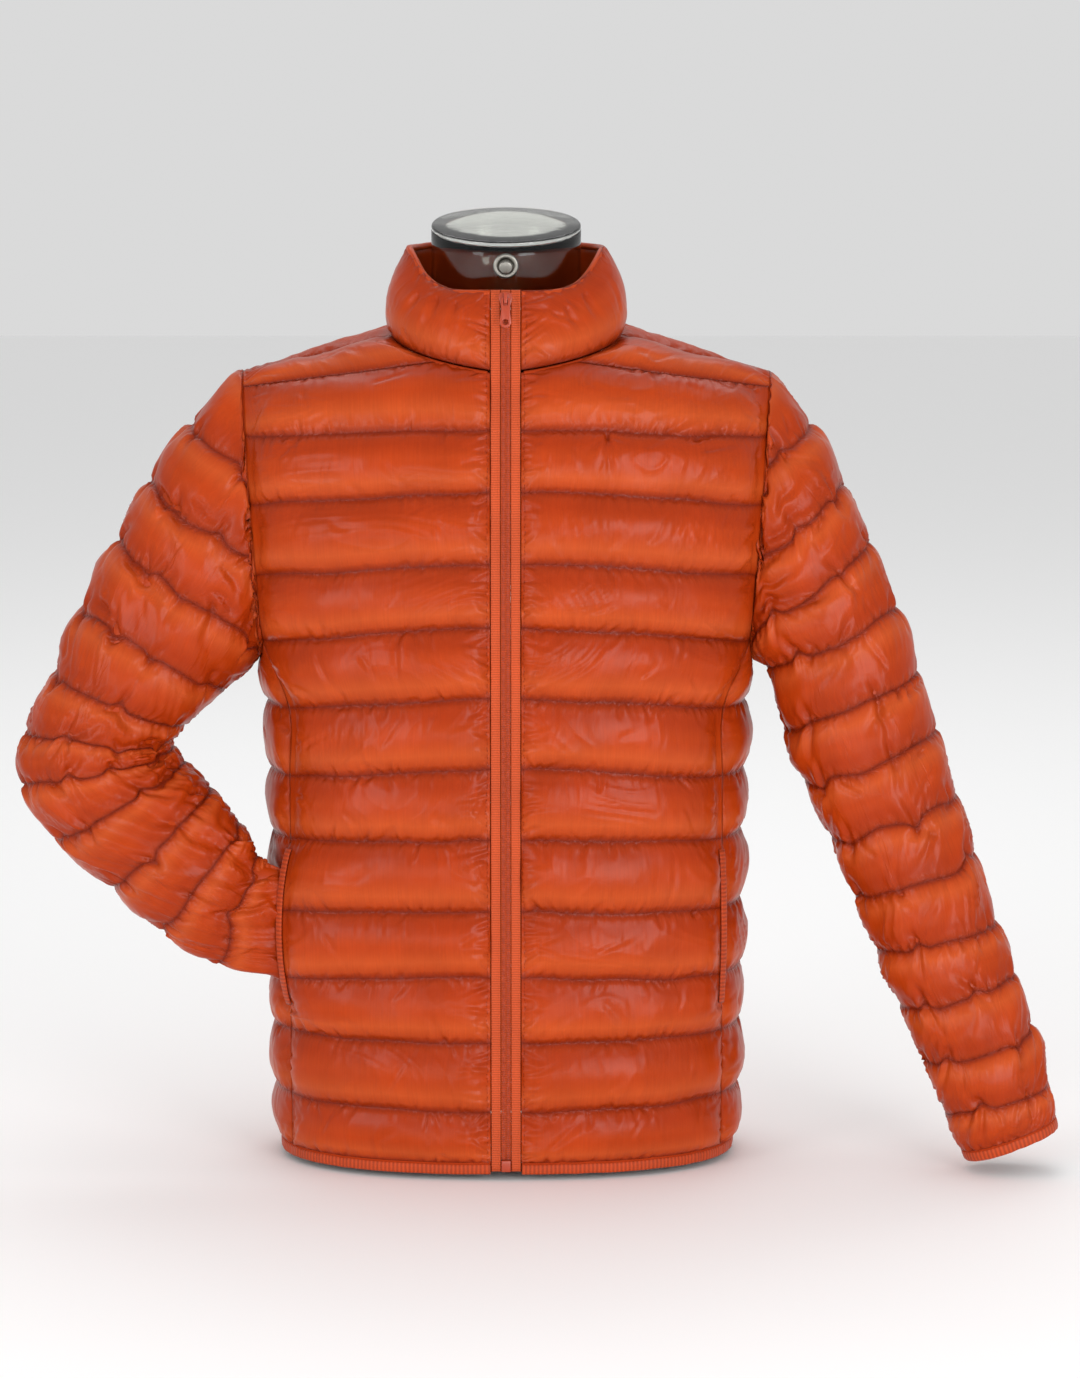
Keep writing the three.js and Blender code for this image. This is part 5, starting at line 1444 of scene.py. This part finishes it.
def copiesAlong(name, lines, pitch, piece, material):
    # lines are arrays of points in millimetres
    vertices, edges = [], []
    for line in lines:
        first = len(vertices)
        vertices += (np.asarray(line) * mm).tolist()
        edges += [(first + k, first + k + 1) for k in range(len(line) - 1)]
    mesh = bpy.data.meshes.new(name + "Lines")
    mesh.from_pydata(vertices, edges, [])
    holder = newObject(name + "Lines", mesh)
    nodes = holder.modifiers.new("copies", "NODES")
    nodes.node_group = alongPath
    values = {"Pitch": pitch * mm, "Piece": piece, "Size": 1.0, "Finish": material}
    for socket in alongPath.interface.items_tree:
        if socket.in_out == "INPUT" and socket.name in values:
            nodes[socket.identifier] = values[socket.name]
    graph = bpy.context.evaluated_depsgraph_get()
    result = bpy.data.meshes.new_from_object(holder.evaluated_get(graph))
    result.name = name
    discard(holder)
    return newObject(name, result)


def capsule(length, halfWidth, halfDepth, sides, axis):
    # a low-poly bar with narrowed ends, along Z or X
    rings = [(-0.5, 0.4), (0.0, 1.0), (0.5, 0.4)]
    vertices, faces = [], []
    for place, size in rings:
        for k in range(sides):
            angle = 2 * np.pi * (k + 0.5) / sides
            across, out = halfWidth * size * np.cos(angle), halfDepth * size * np.sin(angle)
            vertices.append((across, out, place * length) if axis == "Z" else (place * length, out, across))
    return vertices, tubeFaces(len(rings), sides)


chainLook = {"colour": (0.36, 0.034, 0.005), "roughness": 0.34}
chainPlastic = newMaterial("chainPlastic", chainLook["colour"], chainLook["roughness"], Coat_Weight=0.25,
                           Coat_Roughness=0.2)
grain(chainPlastic, 260.0, chainLook["roughness"] - 0.1, chainLook["roughness"] + 0.12)


def makeTeeth():
    tooth = zipper["toothLength"]
    vertices, faces = capsule(tooth, zipper["toothHalf"], 0.9, 6, "X")
    both, bothFaces = [], []
    for side, rise in ((-1.0, 0.0), (1.0, 0.5)):
        first = len(both)
        for x, y, z in vertices:
            both.append((side * (tooth / 2 + 0.25) + x, y, z + rise * zipper["toothPitch"] + 0.06 * side * x))
        bothFaces += [tuple(first + k for k in face) for face in faces]
    pair = solidMesh("toothPair", both, bothFaces, chainPlastic)
    path = zipPath(zipper["bottomZ"] + 10.2, 120)
    path[:, 1] -= zipper["chainForward"] + 0.7
    teeth = copiesAlong("zipTeeth", [path[:-1]], zipper["toothPitch"], pair, chainPlastic)
    discard(pair)
    finish(teeth, "zip_chain")
    core = zipPath(zipper["bottomZ"] + 9.4, 120)
    core[:, 1] -= zipper["chainForward"]
    wide = np.tile([1.0, 0.0, 0.0], (len(core), 1))
    deep = np.tile([0.0, -1.0, 0.0], (len(core), 1))
    profile = [(-3.6, -1.3), (-3.6, 0.1), (-0.3, 0.2), (0.0, -0.2), (0.3, 0.2), (3.6, 0.1), (3.6, -1.3)]
    finish(sweptStrip("zipCord", core, wide, deep, profile, tapeCloth), None)


def bevelled(node, name, width, material, body="jacket", segments=2):
    # a node's own shape with its edges rounded
    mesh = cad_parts[node].data.copy()
    work = bmesh.new()
    work.from_mesh(mesh)
    bmesh.ops.remove_doubles(work, verts=work.verts, dist=2e-6)
    bmesh.ops.dissolve_limit(work, angle_limit=math.radians(4.0), verts=work.verts, edges=work.edges)
    work.to_mesh(mesh)
    work.free()
    mesh.materials.clear()
    mesh.materials.append(material)
    rough = newObject(name + "Rough", mesh)
    bevel = rough.modifiers.new("edges", "BEVEL")
    bevel.width = width * mm
    bevel.segments = segments
    bevel.limit_method = "ANGLE"
    bevel.angle_limit = math.radians(35.0)
    graph = bpy.context.evaluated_depsgraph_get()
    result = bpy.data.meshes.new_from_object(rough.evaluated_get(graph))
    result.name = name
    result.polygons.foreach_set("use_smooth", [True] * len(result.polygons))
    result.set_sharp_from_angle(angle=math.radians(50.0))
    bpy.data.objects.remove(rough)
    return finish(newObject(name, result), node, body)


for side, word in ((1, "Left"), (-1, "Right")):
    makeTape(side, word)
makeTeeth()
bevelled("zip_slider", "sliderBody", 0.3, chainPlastic)
bevelled("zip_pull", "pullTab", 0.3, chainPlastic, body="pull_tab")
bevelled("zip_box", "zipBoxBlock", 0.7, chainPlastic, segments=3)
print("zip is made")

# Bust form: a clear shell with an open foot, a cap on its neck and a screw

bustForm = {
    "sections": [  # height, half width, front, back
        (0, 150, -88, 84),
        (60, 152, -89, 86),
        (160, 145, -84, 82),
        (250, 136, -82, 80),
        (340, 148, -92, 90),
        (430, 166, -102, 100),
        (500, 176, -100, 102),
        (550, 180, -90, 95),
        (585, 182, -76, 82),
        (605, 179, -64, 70),
        (617, 160, -58, 62),
        (628, 124, -55, 56),
        (638, 86, -54, 52),
        (652, 67, -55, 50),
        (680, 58, -60, 46),
    ],
    "squareness": 2.2,
    "wall": 2.2,
    "slimmer": 1.2,     # the smoothed body keeps inside the plain one by this much
    "capRadius": 57.5,
    "capY": -12.0,
    "capZ": 727.0,
    "capTilt": 11.0,
    "capThickness": 4.0,
    "gap": 0.4,
}
clearLook = {"colour": (0.80, 0.81, 0.77), "roughness": 0.03, "ior": 1.34}
clearPlastic = newMaterial("clearPlastic", clearLook["colour"], clearLook["roughness"], IOR=clearLook["ior"],
                           Transmission_Weight=1.0)
grain(clearPlastic, 34.0, 0.01, 0.09, 4.0, 0.002)


def neckRim(below, radius, count):
    angle = np.linspace(0.0, 2 * np.pi, count, endpoint=False)
    tilt = math.radians(bustForm["capTilt"])
    y, z = radius * np.sin(angle), -below
    return points(radius * np.cos(angle), bustForm["capY"] + y * math.cos(tilt) - z * math.sin(tilt),
                  bustForm["capZ"] + y * math.sin(tilt) + z * math.cos(tilt))


def formRings(inset, count):
    table = np.array(bustForm["sections"], float)
    angle = np.linspace(0.0, 2 * np.pi, count, endpoint=False)
    rings = []
    for place in np.linspace(0.0, len(table) - 1, (len(table) - 1) * 4 + 1):
        z, halfWidth, front, back = tableAt(table, np.array(place))
        slim = inset + bustForm["slimmer"] * (1.0 - smooth((z - 640.0) / 30.0))
        depth = np.where(np.sin(angle) < 0, -front, back) - slim
        rings.append(ovalPoints(angle, halfWidth - slim, depth, bustForm["squareness"], z))
    below = bustForm["capThickness"] + bustForm["gap"]
    rim = neckRim(below, bustForm["capRadius"] - inset, count)
    for t in (0.25, 0.5, 0.75):
        rings.append(mix(rings[(len(table) - 1) * 4], rim, t))
    rings.append(rim)
    return np.array(rings)


def makeForm():
    count = 96
    outer, inner = formRings(0.0, count), formRings(bustForm["wall"], count)
    rings = np.concatenate([outer, inner[::-1]])
    shell = solidMesh("clearForm", rings, tubeFaces(len(rings), count, True), clearPlastic)
    finish(shell, "bust_form")
    thick = bustForm["capThickness"]
    rims = ((thick, 22.0), (thick, 2.0), (thick - 0.3, 0.7), (thick - 1.0, 0.1), (1.0, 0.1), (0.3, 0.7),
            (0.05, 2.0), (0.0, 22.0))
    rings = [neckRim(below, bustForm["capRadius"] - inset, count) for below, inset in rims]
    finish(solidMesh("clearCap", rings, tubeFaces(len(rings), count), clearPlastic), "neck_cap")


screwLook = {"colour": (0.20, 0.19, 0.17), "roughness": 0.34}
screwMetal = newMaterial("screwMetal", screwLook["colour"], screwLook["roughness"], Metallic=1.0)
grain(screwMetal, 900.0, 0.18, 0.42)
makeForm()
bevelled("neck_bolt", "neckScrew", 1.2, screwMetal, segments=3)


def makeWasher():
    # a ring behind the screw's head, square to the screw
    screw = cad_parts["neck_bolt"]
    corners = np.array([v.co for v in screw.data.vertices]) / mm
    middle = corners.mean(axis=0)
    axis = unit(np.array([0.0, np.sign(middle[1] - bustForm["capY"]), -0.15]))
    across = np.array([1.0, 0.0, 0.0])
    upward = unit(np.cross(axis, across))
    back = middle - axis * np.abs((corners - middle) @ axis).max()
    rings = []
    angle = np.linspace(0.0, 2 * np.pi, 40, endpoint=False)[:, None]
    for radius, out in ((4.0, 0.0), (9.2, 0.0), (9.7, 0.4), (9.5, 0.9), (8.6, 1.1), (4.0, 1.1)):
        rings.append(back + axis * out + (across * np.cos(angle) + upward * np.sin(angle)) * radius)
    faces = tubeFaces(len(rings), len(angle), True)
    finish(solidMesh("screwWasher", rings, faces, screwMetal), None)


makeWasher()
print("bust form is made")

# Stitches on every sewn line

stitching = {"pitch": 3.2, "length": 2.4, "halfWidth": 0.24, "lift": -0.02}
# the thread is real, and its dark colour is painted shade of the sewn lines' valleys
threadPaintedShade = newMaterial("sewingThreadPaintedShade", (0.17, 0.013, 0.002), 0.8, Specular_IOR_Level=0.2)


def sewnLines():
    lines = []
    for name, group in patches.items():
        for patch in group:
            outer = patch["final"]
            normals = gridNormals(outer)
            steps = patch["steps"] * patch["fine"][0]
            for row in range(steps, len(outer) - 1, steps):
                lines.append(outer[row, 1:-1] + normals[row, 1:-1] * stitching["lift"])
            for edge in patch["zipEdges"]:
                column = 2 if edge == "left" else -3
                lines.append(outer[1:-1, column] + normals[1:-1, column] * stitching["lift"])
    return lines


def makeStitches():
    half = stitching["halfWidth"]
    vertices, faces = capsule(stitching["length"], half, half, 4, "Z")
    one = solidMesh("stitch", vertices, faces, threadPaintedShade)
    stitches = copiesAlong("quiltStitches", sewnLines(), stitching["pitch"], one, threadPaintedShade)
    discard(one)
    finish(stitches, None)


makeStitches()
print("stitches are made")
